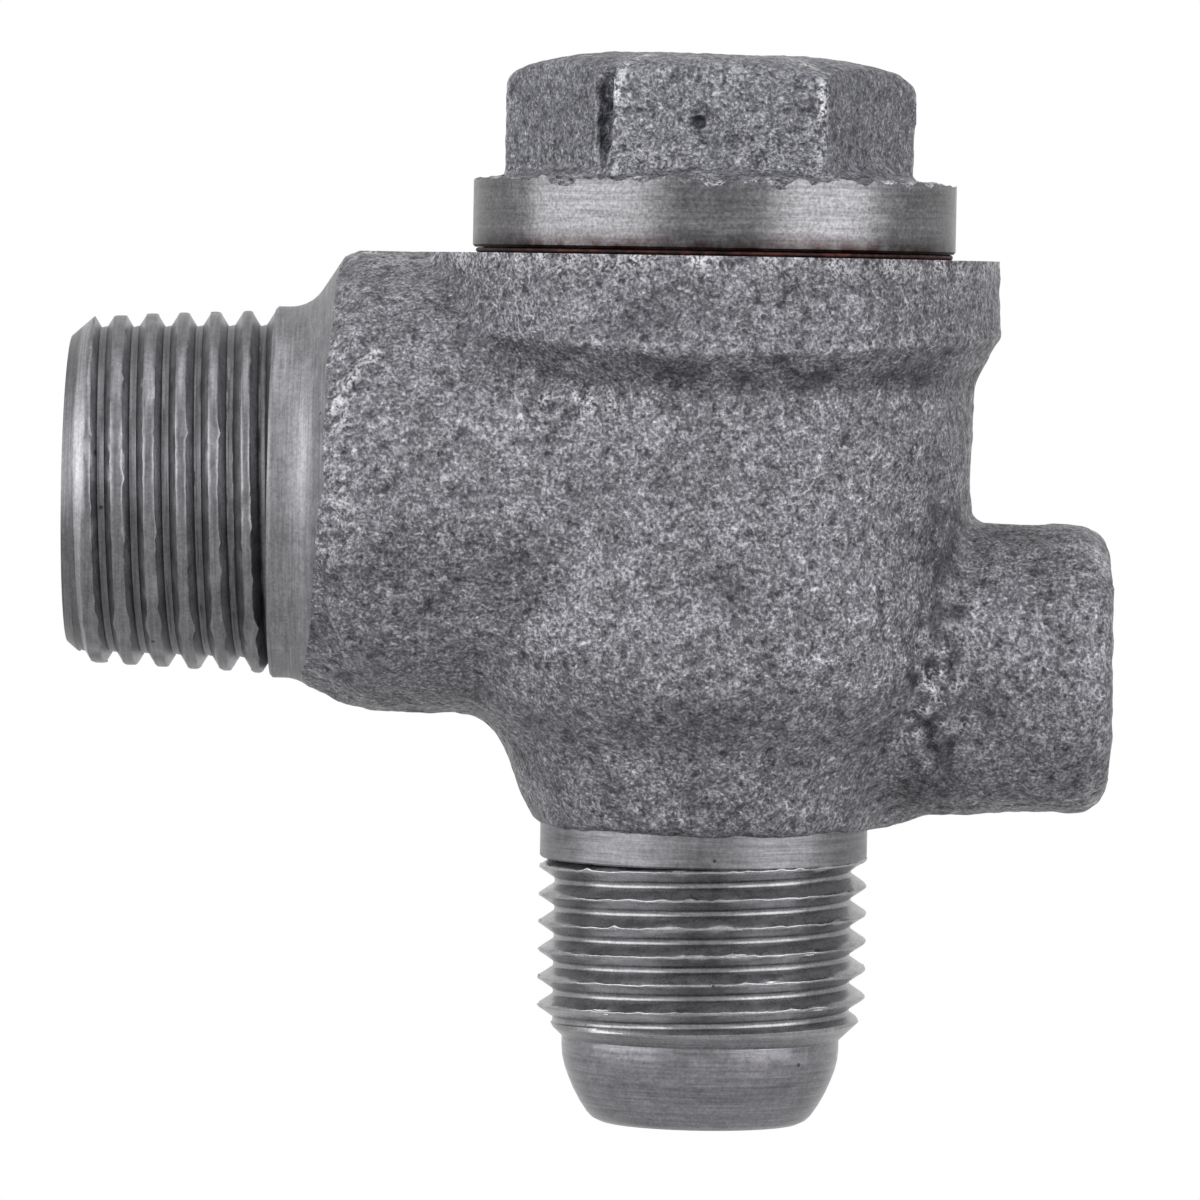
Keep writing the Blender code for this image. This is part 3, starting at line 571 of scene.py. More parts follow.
def turned_material(name, colour, roughness, rings, location=(0.0, 0.0, 0.0), turn=0.0, dusty=0.18):
    """Metal cut in a lathe, with a fine dust of rust or wear that lightens or darkens it by the dusty share.

    It also gives the material's tree, colour and shader, for a piece that has more to add.
    """
    metal, tree, shader = new_metal(name, 1.0)
    marks = add_node(tree, "ShaderNodeGroup", node_tree=turning)
    tree.links.new(object_place(tree, location, turn), marks.inputs["Vector"])
    marks.inputs["Rings"].default_value = rings
    ring_shade = ranged(tree, marks.outputs["Ring"], 0.3, 0.7, 0.66, 1.34)
    blotch_shade = ranged(tree, marks.outputs["Blotch"], 0.3, 0.7, 0.80, 1.20)
    marked = math_node(tree, "MULTIPLY", ring_shade, blotch_shade)
    dust = add_node(
        tree,
        "ShaderNodeTexNoise",
        {"Vector": object_place(tree), "Scale": 5.5, "Detail": 2.0, "Roughness": 0.6},
    )
    dust_shade = ranged(tree, dust.outputs[0], 0.3, 0.7, 1 - dusty, 1 + dusty)
    shade = math_node(tree, "MULTIPLY", marked, dust_shade)
    base = mix_colour(tree, 1.0, (*colour, 1.0), shade, "MULTIPLY")
    pore = math_node(tree, "MULTIPLY", marks.outputs["Pore"], 0.75)
    pored = mix_colour(tree, pore, base, (0.02, 0.02, 0.02, 1.0))
    tree.links.new(pored, shader.inputs["Base Color"])
    tree.links.new(
        ranged(tree, marks.outputs["Blotch"], 0.3, 0.7, roughness - 0.06, roughness + 0.08),
        shader.inputs["Roughness"],
    )
    bump(tree, shader, marks.outputs["Height"], 0.012, 0.7)
    return metal, tree, pored, shader


cast_iron = cast_material(
    "cast iron", (0.040, 0.039, 0.044), (0.118, 0.116, 0.128), (0.40, 0.40, 0.425), 5.2, 0.48
)
turned_collar = turned_material("turned collar", (0.185, 0.183, 0.193), 0.50, 6.0, **ON_TANK)[0]
faced_seat = turned_material("faced seat", (0.17, 0.17, 0.177), 0.50, 6.0, **ON_UPRIGHT)[0]
spot_face = turned_material("spot face", (0.26, 0.26, 0.27), 0.35, 6.0, **ON_BOSS)[0]
bored_iron = turned_material("bored iron", (0.16, 0.16, 0.165), 0.45, 5.0, **ON_UPRIGHT)[0]

flange_radius = 16.35
barrel_radius = 14.9
barrel_round = 6.5
tank_barrel_radius = 13.1
boss_radius = 8.3
boss_round = 1.6
slope_top = SEAT_FACE - 4.25
slope_end = slope_top - 2.7
chamber_form = lathe(
    [
        (0.0, SEAT_FACE + 1.0),
        (flange_radius, SEAT_FACE + 1.0),
        (flange_radius, slope_top),
        (barrel_radius, slope_end),
        *arc((barrel_radius - barrel_round, -8.0), barrel_round, 0, -42),
        (11.6, -14.0),
        (9.9, INLET_NECK_END),
        (0.0, INLET_NECK_END),
    ],
    128,
)


def flange_sag(across):
    """How much lower the flange's lip hangs on the sides that face -Y and +Y."""
    return 1.05 * (across / flange_radius) ** 2


for vert in chamber_form.verts:
    if abs(vert.co.z - slope_top) < 0.01:
        vert.co.z -= flange_sag(vert.co.y)
    elif abs(vert.co.z - slope_end) < 0.01:
        vert.co.z -= 0.4 * flange_sag(vert.co.y)
body = rough_blank("cast_body", chamber_form, upright, cast_iron)
tank_barrel = [
    (0.0, 10.0),
    (11.6, 10.0),
    (11.6, 13.7),
    (tank_barrel_radius, 16.4),
    (tank_barrel_radius, UPRIGHT_AXIS),
    (0.0, UPRIGHT_AXIS),
]
cut(body, turned_blank("tank_barrel", tank_barrel, 128, lying(0.68), cast_iron), "UNION")
boss = [
    (0.0, UPRIGHT_AXIS),
    (boss_radius, UPRIGHT_AXIS),
    *arc((boss_radius - boss_round, BOSS_END - boss_round), boss_round, 0, 90),
    (0.0, BOSS_END),
]
cut(body, turned_blank("boss", boss, 128, lying(BOSS_AXIS), cast_iron), "UNION")
web = bmesh.new()
bmesh.ops.create_uvsphere(web, u_segments=32, v_segments=16, radius=1.0)
bmesh.ops.transform(web, matrix=Matrix.Diagonal((3.0, 2.6, 1.5, 1.0)), verts=web.verts)
cut(body, rough_blank("web", web, Matrix.Translation((46.0, 0.0, -17.3)), cast_iron), "UNION")
one_skin(body, 0.26, 18)
soften_part(body, lambda place: place.z < 5.5 or (place.x < 24.0 and place.z < 8.5), 34)


def peak(distance, width):
    """One at no distance, and evenly down to nought at the width."""
    return max(0.0, 1.0 - abs(distance) / width)


def bell(distance, width):
    """One at no distance, and softly down to nought on both sides."""
    return math.exp(-((distance / width) ** 2))


def near_spot(place, across, height, width, rise):
    """Nearness to a spot on the side that faces -Y."""
    if place.y >= 0.0:
        return 0.0
    return math.exp(-(((place.x - across) / width) ** 2) - ((place.z - height) / rise) ** 2)


def chipped_spots(place):
    """Nearness to the chips at the boss's root and below the flange."""
    return near_spot(place, 49.0, -10.5, 1.5, 3.4) + 0.5 * near_spot(place, 28.2, 5.6, 2.8, 0.9)


def tank_ridge(place):
    """Nearness to a ragged ridge that the mould's parting has left beside the tank collar."""
    aside = place.x - 15.1 - 0.77 * (place.z - 5.0)
    return peak(aside, 0.7) if 4.4 < place.z < 8.4 and place.y < 0.0 else 0.0


def body_relief(place):
    """How far the skin stands out beyond its sand texture.

    It is torn where the lathe's cut behind the tank thread runs out, ragged on the ridge, swollen along
    the flange's lip and chipped in the spots. The tank barrel's lower corner and the boss's upper one are
    worn down.
    """
    border = peak(place.x - 15.4, 1.6)
    tear = border * (0.38 * noise.noise(place / 1.5 + Vector((4, 8, 2))) + 0.22 * noise.noise(place / 0.65))
    low_corner = bell(place.x - 15.6, 1.3) if place.z < -9.0 else 0.0
    boss_corner = bell(place.x - 59.0, 1.0) if place.z > -4.5 else 0.0
    worn = 0.15 * low_corner + 0.16 * boss_corner
    above_lip = place.z - slope_top + flange_sag(place.y) - 0.1
    lip = 0.16 * bell(above_lip, 0.5) if place.x > 27.0 else 0.0
    ridge = tank_ridge(place) * (0.16 + 0.5 * noise.noise(place / 0.55))
    chips = 0.70 * chipped_spots(place) * noise.noise(place / 0.9 + Vector((7, 7, 1)))
    return tear + ridge + lip + chips - worn


sand_texture(body, 3, ((7.0, 0.22), (3.0, 0.14), (1.3, 0.09), (0.7, 0.07)), body_relief)

# The turning tool leaves the collar in a round and then runs out along a slope.
lathe_path = [
    (0.0, 11.6),
    (10.45, 11.6),
    (10.6, 11.75),
    *arc((12.8, 12.4), 2.2, 180, 123),
]
slope = math.tan(math.radians(57))
far_radius = 15.2
lathe_path.append((far_radius, lathe_path[-1][1] + (far_radius - lathe_path[-1][0]) / slope))
lathe_path += [(far_radius, 5.0), (0.0, 5.0)]
machining = turned_blank("tank_turning", lathe_path, 192, lying(0.0), turned_collar)
facing = bmesh.new()
bmesh.ops.create_cube(facing, size=1.0)
bmesh.ops.transform(facing, matrix=Matrix.Diagonal((64.0, 64.0, 8.0, 1.0)), verts=facing.verts)
facing_place = Matrix.Translation((UPRIGHT_AXIS, 0.0, SEAT_FACE + 4.0))
cut(machining, rough_blank("facing", facing, facing_place, faced_seat), "UNION")
chamber = [
    (0.0, SEAT_FACE + 4.0),
    (11.5, SEAT_FACE + 4.0),
    (11.5, SEAT_FACE),
    (11.1, SEAT_FACE - 0.4),
    (11.1, 4.4),
    (9.9, 4.0),
    (9.9, -6.4),
    (6.8, -6.4),
    (6.8, -5.5),
    (6.5, -5.2),
    (5.8, -5.2),
    (5.5, -5.5),
    (5.5, -12.5),
    (4.4, -13.6),
    (4.4, -24.0),
    (0.0, -24.0),
]
cut(machining, turned_blank("chamber", chamber, 128, upright, bored_iron), "UNION")
tank_bore = [(0.0, 4.0), (6.0, 4.0), (6.0, 29.45), (0.0, 29.45)]
cut(machining, turned_blank("tank_bore", tank_bore, 128, lying(0.0), bored_iron), "UNION")
port_radius = 4.9
spot_radius = 6.6
port_bore = [
    (0.0, UPRIGHT_AXIS),
    (1.5, UPRIGHT_AXIS),
    (1.5, 47.9),
    (4.3, 49.6),
    (port_radius, 49.6),
    (port_radius, BOSS_FACE),
    (spot_radius, BOSS_FACE),
    (spot_radius, BOSS_END + 2.0),
    (0.0, BOSS_END + 2.0),
]
cut(machining, turned_blank("port_bore", port_bore, 128, lying(BOSS_AXIS), spot_face), "UNION")
cut(body, machining)


def body_zones(place):
    """Lighter on the flange's top edge, the turned border, the chips, the mould's ridge and the boss's rim,
    for wear and painted glints. Darker for grime and painted shade under the flange's lip and in the boss's
    crease, and for painted shade on the tank barrel's underside. It is also a little darker over the flange,
    in the chips and over the boss's end, and in random clouds.
    """
    reach = math.hypot(place.x - UPRIGHT_AXIS, place.y)
    ragged = noise.noise(place / 1.3)
    cloud = noise.noise(place / 3.0)
    edge = max(0.0, 1.0 - (SEAT_FACE - place.z) / 1.3) * max(0.0, 0.35 + 1.4 * ragged)
    border = peak(place.x - 15.8, 0.8) * max(0.0, 1.2 * noise.noise(place / 2.4))
    chips = chipped_spots(place)
    junction = 2.2 * chips * max(0.0, 2.0 * noise.noise(place / 0.7) - 0.10)
    ridge = 1.5 * tank_ridge(place) * max(0.0, 0.5 + 1.5 * noise.noise(place / 0.55))
    rim = peak(place.x - 58.6, 0.7) * max(0.0, 1.6 * noise.noise(place / 2.2 + Vector((0, 0, 4))))
    # Grime and painted shade in a band under the flange's lip, and in the crease at the boss's root.
    lip_grime_and_shade = bell(place.z - 7.2, 0.9) * max(0.0, min(1.0, (place.x - 27.0) / 8.0))
    crease_grime_and_shade = bell(place.x - 49.6, 1.4) * (1.0 if place.z < 0.5 else 0.0)
    flange = max(0.0, min(1.0, (place.z - 7.5) / 1.5)) if reach < 17.5 else 0.0
    dark = max(
        lip_grime_and_shade * (0.30 + 1.1 * noise.noise(place / 1.7)),
        crease_grime_and_shade * (0.40 + 1.1 * noise.noise(place / 1.1)),
        0.14 * flange,
        chips * (0.2 - 1.6 * noise.noise(place / 0.7)),
        0.7 * (cloud - 0.16),
        0.09 if place.x > 51.5 else 0.0,
        # Painted shade on the tank barrel's underside.
        0.16 * (1.0 + cloud) if place.z < -8.5 and place.x < 29.0 else 0.0,
    )
    return min(1.0, max(edge, border, junction, rim, ridge)), max(0.0, min(0.7, dark))


weather_and_shade_skin(body, body_zones)
finish_piece(body, "cast_body", "housing")
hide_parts("valve_body")


# Tank spigot: the body's own iron, cut with a tapered pipe thread of 14 turns to the inch.
# Its crests are nicked and burred, and its crests and roots are painted darker than the flanks, as painted
# shade.
def threaded_rod(
    pitch,
    flank,
    root_flat,
    ridge,
    low,
    high,
    crest,
    root,
    lead,
    tapers=(0.0, 0.0),
    nicks=0.0,
    burr_at=None,
    steps=144,
):
    """A closed rod about Z with a right-hand thread, from a low to a high end.

    The ridge is the height of a crest on the side that faces +X, the flank's angle is in degrees off square,
    and the lead is the radius and length of the low end's cone. The tapers are the crest's and the root's.
    Nicks wear the crests and burr them, with a heavier row of burrs at one angle where that is given.

    One turn of the profile is spun, copied and merged at a plain radius, where a point's distance from it is
    the point's share of the thread's depth. Each point is then set to its own place.
    """
    foot = (pitch - root_flat) / 2
    tangent = math.tan(math.radians(flank))
    plain_radius = 10.0
    mesh = bmesh.new()
    profile = [(-pitch / 2, -0.03), (-(foot + pitch / 2) / 2, -0.02)]
    for share in (0.02, 0.10, 0.5, 0.86, 0.94, 0.985):
        profile.append((-foot + share * (foot - 0.2), share))
    profile += [(-0.1, 1.0), (0.0, 1.0)]
    profile += [(-offset, share) for offset, share in reversed(profile[:-1])]
    start = ridge + pitch * (math.floor((low - ridge) / pitch) - 1)
    turns = math.ceil((high - start) / pitch) + 2
    points = [mesh.verts.new((plain_radius + share, 0.0, start + offset)) for offset, share in profile]
    edges = [mesh.edges.new(pair) for pair in zip(points, points[1:])]
    bmesh.ops.spin(
        mesh,
        geom=points + edges,
        cent=(0.0, 0.0, 0.0),
        axis=(0.0, 0.0, 1.0),
        dvec=(0.0, 0.0, pitch / steps),
        angle=math.tau,
        steps=steps,
        use_merge=False,
    )
    one_turn = mesh.verts[:] + mesh.edges[:] + mesh.faces[:]
    for turn in range(1, turns):
        copied = bmesh.ops.duplicate(mesh, geom=one_turn)["geom"]
        moved = [item for item in copied if isinstance(item, bmesh.types.BMVert)]
        bmesh.ops.translate(mesh, verts=moved, vec=(0.0, 0.0, turn * pitch))
    bmesh.ops.remove_doubles(mesh, verts=mesh.verts, dist=1e-3)
    for vert in mesh.verts:
        share = math.hypot(vert.co.x, vert.co.y) - plain_radius
        angle = math.atan2(vert.co.y, vert.co.x) % math.tau
        phase = vert.co.z - pitch * angle / math.tau - ridge
        offset = (phase + pitch / 2) % pitch - pitch / 2
        middle = vert.co.z - offset
        crest_here = crest + tapers[0] * middle
        root_here = root + tapers[1] * middle
        depth = crest_here - root_here
        shoulder = max(foot - depth * tangent, 0.03)
        if share > 0.995:
            offset *= 0.45 * shoulder / 0.1
        elif share > 0.975:
            offset = math.copysign(0.84 * shoulder, offset)
        elif share > 0.005:
            offset = math.copysign(foot - share * (foot - shoulder), offset)
        radius = root_here + depth * share
        height = middle + offset
        cone = max(lead[0] + (height - low) * (crest_here - lead[0]) / lead[1], 0.6 * lead[0])
        if nicks and share > 0.9 and cone > crest_here:
            worn = noise.noise(Vector((math.cos(angle) * 6, math.sin(angle) * 6, middle * 1.7)))
            radius -= nicks * max(worn - 0.12, 0.0)
            burr = noise.noise(Vector((math.cos(angle) * 16, math.sin(angle) * 16, middle * 3 + 7)))
            row = 0.7 * math.exp(-(((angle - burr_at) / 0.08) ** 2)) if burr_at else 0.0
            height += nicks * (0.35 * burr + math.copysign(row + max(0.0, burr - 0.3), offset))
        radius += 0.012 * noise.noise(Vector((math.cos(angle) * 9, math.sin(angle) * 9, height * 2)))
        if height > low - pitch:
            radius = min(radius, cone)
        vert.co = (radius * math.cos(angle), radius * math.sin(angle), height)
    for level, normal in ((low, (0.0, 0.0, -1.0)), (high, (0.0, 0.0, 1.0))):
        bmesh.ops.bisect_plane(
            mesh,
            geom=mesh.verts[:] + mesh.edges[:] + mesh.faces[:],
            dist=1e-6,
            plane_co=(0.0, 0.0, level),
            plane_no=normal,
            clear_outer=True,
        )
        rim = [
            edge
            for edge in mesh.edges
            if edge.is_boundary and all(abs(vert.co.z - level) < 1e-3 for vert in edge.verts)
        ]
        bmesh.ops.holes_fill(mesh, edges=rim, sides=0)
    bmesh.ops.recalc_face_normals(mesh, faces=mesh.faces)
    return mesh


# How far a point of a thread lies from its root to its crest, for the painted shade on crests and roots.
thread_depth, depth_in, depth_out = group_tree(
    "thread depth", ("Vector", "Root", "Root taper", "Crest", "Crest taper"), ("Height share",)
)
depth_parts = add_node(thread_depth, "ShaderNodeSeparateXYZ", {0: depth_in.outputs["Vector"]})
depth_flat = add_node(
    thread_depth, "ShaderNodeCombineXYZ", {0: depth_parts.outputs[0], 1: depth_parts.outputs[1]}
)
depth_radius = add_node(thread_depth, "ShaderNodeVectorMath", {0: depth_flat.outputs[0]}, operation="LENGTH")
depth_low = math_node(
    thread_depth,
    "ADD",
    depth_in.outputs["Root"],
    math_node(thread_depth, "MULTIPLY", depth_in.outputs["Root taper"], depth_parts.outputs[2]),
)
depth_high = math_node(
    thread_depth,
    "ADD",
    depth_in.outputs["Crest"],
    math_node(thread_depth, "MULTIPLY", depth_in.outputs["Crest taper"], depth_parts.outputs[2]),
)
thread_depth.links.new(
    math_node(
        thread_depth,
        "DIVIDE",
        math_node(thread_depth, "SUBTRACT", depth_radius.outputs["Value"], depth_low),
        math_node(thread_depth, "SUBTRACT", depth_high, depth_low),
    ),
    depth_out.inputs["Height share"],
)


def thread_material(name, flank, crest_shade_level, roughness, rings, root, crest, tapers=(0.0, 0.0), **axis):
    """Turned iron whose flanks have the full colour, while its crests and roots are painted darker to a level
    of it, as painted shade.

    The axis is given as turned_material takes it.
    """
    metal, tree, coloured, shader = turned_material(name, flank, roughness, rings, **axis)
    depth_share = add_node(tree, "ShaderNodeGroup", node_tree=thread_depth)
    tree.links.new(object_place(tree, **axis), depth_share.inputs["Vector"])
    levels = {"Root": root, "Root taper": tapers[1], "Crest": crest, "Crest taper": tapers[0]}
    for socket, value in levels.items():
        depth_share.inputs[socket].default_value = value
    ramp = add_node(tree, "ShaderNodeValToRGB", {0: depth_share.outputs["Height share"]})
    root_level = 0.72 * crest_shade_level
    ramp.color_ramp.elements[0].position = 0.05
    ramp.color_ramp.elements[0].color = (root_level, root_level, root_level, 1.0)
    ramp.color_ramp.elements[1].position = 0.95
    ramp.color_ramp.elements[1].color = (crest_shade_level, crest_shade_level, crest_shade_level, 1.0)
    for position in (0.25, 0.75):
        ramp.color_ramp.elements.new(position).color = (1.0, 1.0, 1.0, 1.0)
    # Painted shade: crests and roots are darker than the flanks.
    worn = mix_colour(tree, 1.0, coloured, ramp.outputs[0], "MULTIPLY")
    tree.links.new(worn, shader.inputs["Base Color"])
    return metal


tank_pitch = 25.4 / 14
tank_crest, tank_root, tank_tapers = 9.86, 9.22, (0.045, 0.026)
tank_iron = thread_material(
    "tank thread iron",
    (0.235, 0.232, 0.245),
    crest_shade_level=0.64,
    roughness=0.38,
    rings=5.5,
    root=tank_root,
    crest=tank_crest,
    tapers=tank_tapers,
    **ON_TANK,
)
tank_rod = threaded_rod(
    pitch=tank_pitch,
    flank=31.5,
    root_flat=0.36,
    ridge=0.0,
    low=0.0,
    high=12.1,
    crest=tank_crest,
    root=tank_root,
    lead=(8.75, 1.3),
    tapers=tank_tapers,
    nicks=0.22,
    burr_at=5.55,
)
tank_spigot = rough_blank("tank_spigot", tank_rod, lying(0.0), tank_iron)
spigot_bore = [
    (0.0, -1.0),
    (6.25, -1.0),
    (6.25, 0.0),
    (6.0, 0.25),
    (6.0, 11.5),
    (6.05, 11.55),
    (6.05, 13.0),
    (0.0, 13.0),
]
cut(tank_spigot, turned_blank("spigot_bore", spigot_bore, 128, lying(0.0), tank_iron))
finish_piece(tank_spigot, "tank_spigot", "housing", 40.0)


# Inlet spigot: a plain collar, a parallel flare thread of 16 turns to the inch, and a nose
# rounded down to a cone that a flared copper tube seats on. All of it is turned on the body's own iron.
inlet_pitch = 25.4 / 16
inlet_root = 8.5
inlet_crest = 9.38
inlet_bore_radius = 4.4
INLET_END = -35.6
inlet_iron = thread_material(
    "inlet thread iron",
    (0.26, 0.256, 0.266),
    crest_shade_level=1.0,
    roughness=0.27,
    rings=7.0,
    root=inlet_root,
    crest=9.25,
    **ON_UPRIGHT,
)
nose_iron = turned_material("turned nose", (0.175, 0.171, 0.183), 0.28, 5.0, **ON_UPRIGHT)[0]
neck_iron = turned_material("turned neck", (0.140, 0.138, 0.146), 0.36, 5.0, **ON_UPRIGHT)[0]
inlet_rod = threaded_rod(
    pitch=inlet_pitch,
    flank=34.0,
    root_flat=0.30,
    ridge=-23.5,
    low=-30.9,
    high=-20.3,
    crest=inlet_crest,
    root=inlet_root,
    lead=(7.8, 1.5),
    nicks=0.2,
)
inlet_spigot = rough_blank("inlet_spigot", inlet_rod, upright, inlet_iron)
plain_neck = [
    (0.0, -18.4),
    (9.35, -18.4),
    (9.35, -20.45),
    (9.25, -20.55),
    (8.45, -20.55),
    (7.9, -21.2),
    (0.0, -21.2),
]
cut(inlet_spigot, turned_blank("plain_neck", plain_neck, 144, upright, neck_iron), "UNION")
nose = [
    (0.0, -30.0),
    (7.93, -30.0),
    (7.93, -31.3),
    (7.88, -31.9),
    (7.74, -32.5),
    (7.52, -33.1),
    (7.22, -33.8),
    (6.84, -34.5),
    (6.44, -35.1),
    (6.14, -35.40),
    (5.72, INLET_END),
    (0.0, INLET_END),
]
cut(inlet_spigot, turned_blank("nose", nose, 144, upright, nose_iron), "UNION")
inlet_bore = [
    (0.0, -37.0),
    (4.75, -37.0),
    (4.75, INLET_END),
    (inlet_bore_radius, -35.3),
    (inlet_bore_radius, -18.9),
    (4.45, -18.85),
    (4.45, -17.0),
    (0.0, -17.0),
]
cut(inlet_spigot, turned_blank("inlet_bore", inlet_bore, 128, upright, nose_iron))
finish_piece(inlet_spigot, "inlet_spigot", "housing", 40.0)


# Unloader port's thread: a female pipe thread of 28 turns to the inch, tapped in the boss.
# It is made as a thin sleeve that fills the body's port and is cut through by the form of the tap.
port_pitch = 0.907
port_root = 4.28
port_crest = 4.86
port_iron = thread_material(
    "port thread iron",
    (0.20, 0.20, 0.205),
    crest_shade_level=0.8,
    roughness=0.4,
    rings=9.0,
    root=port_root,
    crest=port_crest,
    **ON_BOSS,
)
port_sleeve = [(0.0, 49.7), (port_radius, 49.7), (port_radius, BOSS_FACE), (0.0, BOSS_FACE)]
port_thread = turned_blank("port_thread", port_sleeve, 96, lying(BOSS_AXIS), port_iron)
port_tap = threaded_rod(
    pitch=port_pitch,
    flank=27.5,
    root_flat=0.16,
    ridge=50.0,
    low=49.2,
    high=60.0,
    crest=port_crest,
    root=port_root,
    lead=(4.2, 0.5),
    steps=96,
)
cut(port_thread, rough_blank("port_tap", port_tap, lying(BOSS_AXIS), port_iron))
port_mouth = [(0.0, 58.0), (4.0, 58.0), (4.2, 58.4), (4.88, BOSS_FACE), (4.88, 61.0), (0.0, 61.0)]
cut(port_thread, turned_blank("port_mouth", port_mouth, 96, lying(BOSS_AXIS), port_iron))
finish_piece(port_thread, "port_thread", "housing", 40.0)


# Hexagon cap: cast with a domed crown, a little off the lathe's axis. Its collar is turned bright and its
# plug is threaded into the body. The turning tool has torn a ragged border where the collar meets the cast
# skin. A corner of the hexagon has a gash, and the flat beside it a blowhole.
COLLAR_BASE = 14.19
COLLAR_TOP = 18.05
COLLAR_RADIUS = 13.77
CAP_END = 5.36
across_flats = 20.5
corner_reach = across_flats / math.sqrt(3)
hexagon_turn = 32.0
cap_place = Matrix.Translation((UPRIGHT_AXIS - 0.4, 0.0, COLLAR_BASE)) @ rotation(0.6, "Y")
cap_iron = cast_material(
    "cast cap iron", (0.042, 0.042, 0.047), (0.118, 0.119, 0.133), (0.40, 0.40, 0.43), 5.4, 0.48
)
collar_iron, collar_tree, collar_colour, collar_shader = turned_material(
    "turned cap collar", (0.130, 0.128, 0.134), 0.27, 5.0, dusty=0.34, **ON_UPRIGHT
)
hexagon = bmesh.new()
bmesh.ops.create_cone(
    hexagon, cap_ends=True, segments=6, radius1=corner_reach, radius2=corner_reach, depth=22.3
)
corners = [edge for edge in hexagon.edges if abs(edge.verts[0].co.z - edge.verts[1].co.z) > 11.0]
bmesh.ops.bevel(hexagon, geom=corners, offset=0.4, segments=3, profile=0.5, affect="EDGES", material=-1)
bmesh.ops.rotate(
    hexagon, verts=hexagon.verts, cent=(0, 0, 0), matrix=Matrix.Rotation(math.radians(hexagon_turn), 3, "Z")
)
cap = rough_blank("hex_cap_skin", hexagon, cap_place, cap_iron)

# The crown's dome: a flat middle that falls away to the corners, a little squarer than round.
crown_flat = 4.0
crown_base = 8.85
crown_rise = 2.25
squareness = 0.85
crown = []
for step in range(17):
    angle = math.radians(90 * step / 16)
    radius = crown_flat + (corner_reach - crown_flat) * math.sin(angle) ** squareness
    crown.append((radius, crown_base + crown_rise * abs(math.cos(angle)) ** squareness))
crown_form = [(0.0, 11.15), *crown, (corner_reach + 1.0, 1.8), (0.0, 1.8)]
cut(cap, turned_blank("crown", crown_form, 128, cap_place, cap_iron), "INTERSECT")

# The cast skirt under the hexagon, hollowed from the flats out to the collar's border.
ledge_rise = 1.2
skirt_radius = 14.2
ledge = []
for step in range(13):
    angle = math.radians(90 * step / 12)
    radius = COLLAR_RADIUS + 0.1 - (COLLAR_RADIUS - across_flats / 2) * math.sin(angle)
    ledge.append((radius, COLLAR_TOP + ledge_rise * (1 - math.cos(angle))))
skirt = [
    (0.0, COLLAR_TOP + ledge_rise),
    *reversed(ledge),
    (skirt_radius, COLLAR_TOP - 0.3),
    (skirt_radius, COLLAR_BASE - 1.0),
    (0.0, COLLAR_BASE - 1.0),
]
cut(cap, turned_blank("skirt", skirt, 128, upright, cap_iron), "UNION")
gash = bmesh.new()
bmesh.ops.create_icosphere(gash, subdivisions=4, radius=1.0)
bmesh.ops.transform(gash, matrix=Matrix.Diagonal((0.80, 1.3, 3.0, 1.0)), verts=gash.verts)
gash_place = Matrix.Translation((29.95, -9.7, 21.5)) @ rotation(122, "Z") @ rotation(-4, "Y")
cut(cap, rough_blank("gash", gash, gash_place, cap_iron))
blowhole = bmesh.new()
bmesh.ops.create_icosphere(blowhole, subdivisions=4, radius=0.40)
bmesh.ops.transform(blowhole, matrix=Matrix.Diagonal((1.15, 1.0, 0.9, 1.0)), verts=blowhole.verts)
cut(cap, rough_blank("blowhole", blowhole, Matrix.Translation((35.4, -10.3, 21.3)), cap_iron))
one_skin(cap, 0.19, 3)
soften_part(cap, lambda place: place.z > COLLAR_TOP + 5.0, 6)


def torn_ledge(place):
    """Extra tearing near the collar's upper border, less at its two ends along X."""
    radius = math.hypot(place.x - UPRIGHT_AXIS, place.y)
    near = peak(place.z - COLLAR_TOP - 0.1, 0.7) * min(1.0, max(0.0, (radius - 12.2) / 0.8))
    notch = min(0.0, noise.noise(place / 1.6 + Vector((3, 1, 9))) + 0.22)
    near *= 0.4 + 0.7 * abs(place.y) / radius
    return near * (1.3 * notch + 0.42 * noise.noise(place / 0.9) + 0.26 * noise.noise(place / 0.4))


sand_texture(cap, 8, ((5.0, 0.10), (1.6, 0.05), (0.7, 0.045), (0.42, 0.04)), torn_ledge)
collar_cut = [
    (COLLAR_RADIUS - 0.12, COLLAR_BASE),
    (COLLAR_RADIUS, COLLAR_BASE + 0.14),
    (COLLAR_RADIUS, COLLAR_TOP + 0.6),
    (16.0, COLLAR_TOP + 2.0),
    (16.0, COLLAR_BASE - 3.0),
    (9.6, COLLAR_BASE - 3.0),
    (9.6, COLLAR_BASE),
]
cut(cap, turned_blank("collar_cut", collar_cut, 256, upright, collar_iron, ring=True))
plug_rod = threaded_rod(
    pitch=1.5,
    flank=30.0,
    root_flat=0.25,
    ridge=CAP_END,
    low=CAP_END,
    high=COLLAR_BASE - 1.6,
    crest=11.0,
    root=10.08,
    lead=(9.9, 0.8),
    steps=96,
)
plug = rough_blank("cap_plug", plug_rod, upright, collar_iron)
plug_neck = [(0.0, CAP_END + 1.0), (9.9, CAP_END + 1.0), (9.9, COLLAR_BASE + 0.6), (0.0, COLLAR_BASE + 0.6)]
cut(plug, turned_blank("plug_neck", plug_neck, 96, upright, collar_iron), "UNION")
cut(cap, plug, "UNION")

# The pocket that the spring stands in, and above it the bore that guides the poppet's stem.
pocket_radius = 6.2
pocket_top = 12.86
guide_radius = 3.05
pocket = [
    (0.0, CAP_END - 1.0),
    (pocket_radius, CAP_END - 1.0),
    (pocket_radius, pocket_top),
    (guide_radius, pocket_top),
    (guide_radius, 21.0),
    (2.7, 21.36),
    (0.0, 21.36),
]
cut(cap, turned_blank("pocket", pocket, 96, upright, collar_iron))


corner_bearing = hexagon_turn - 30.0
shaded_flat_bearing = hexagon_turn + 60.0


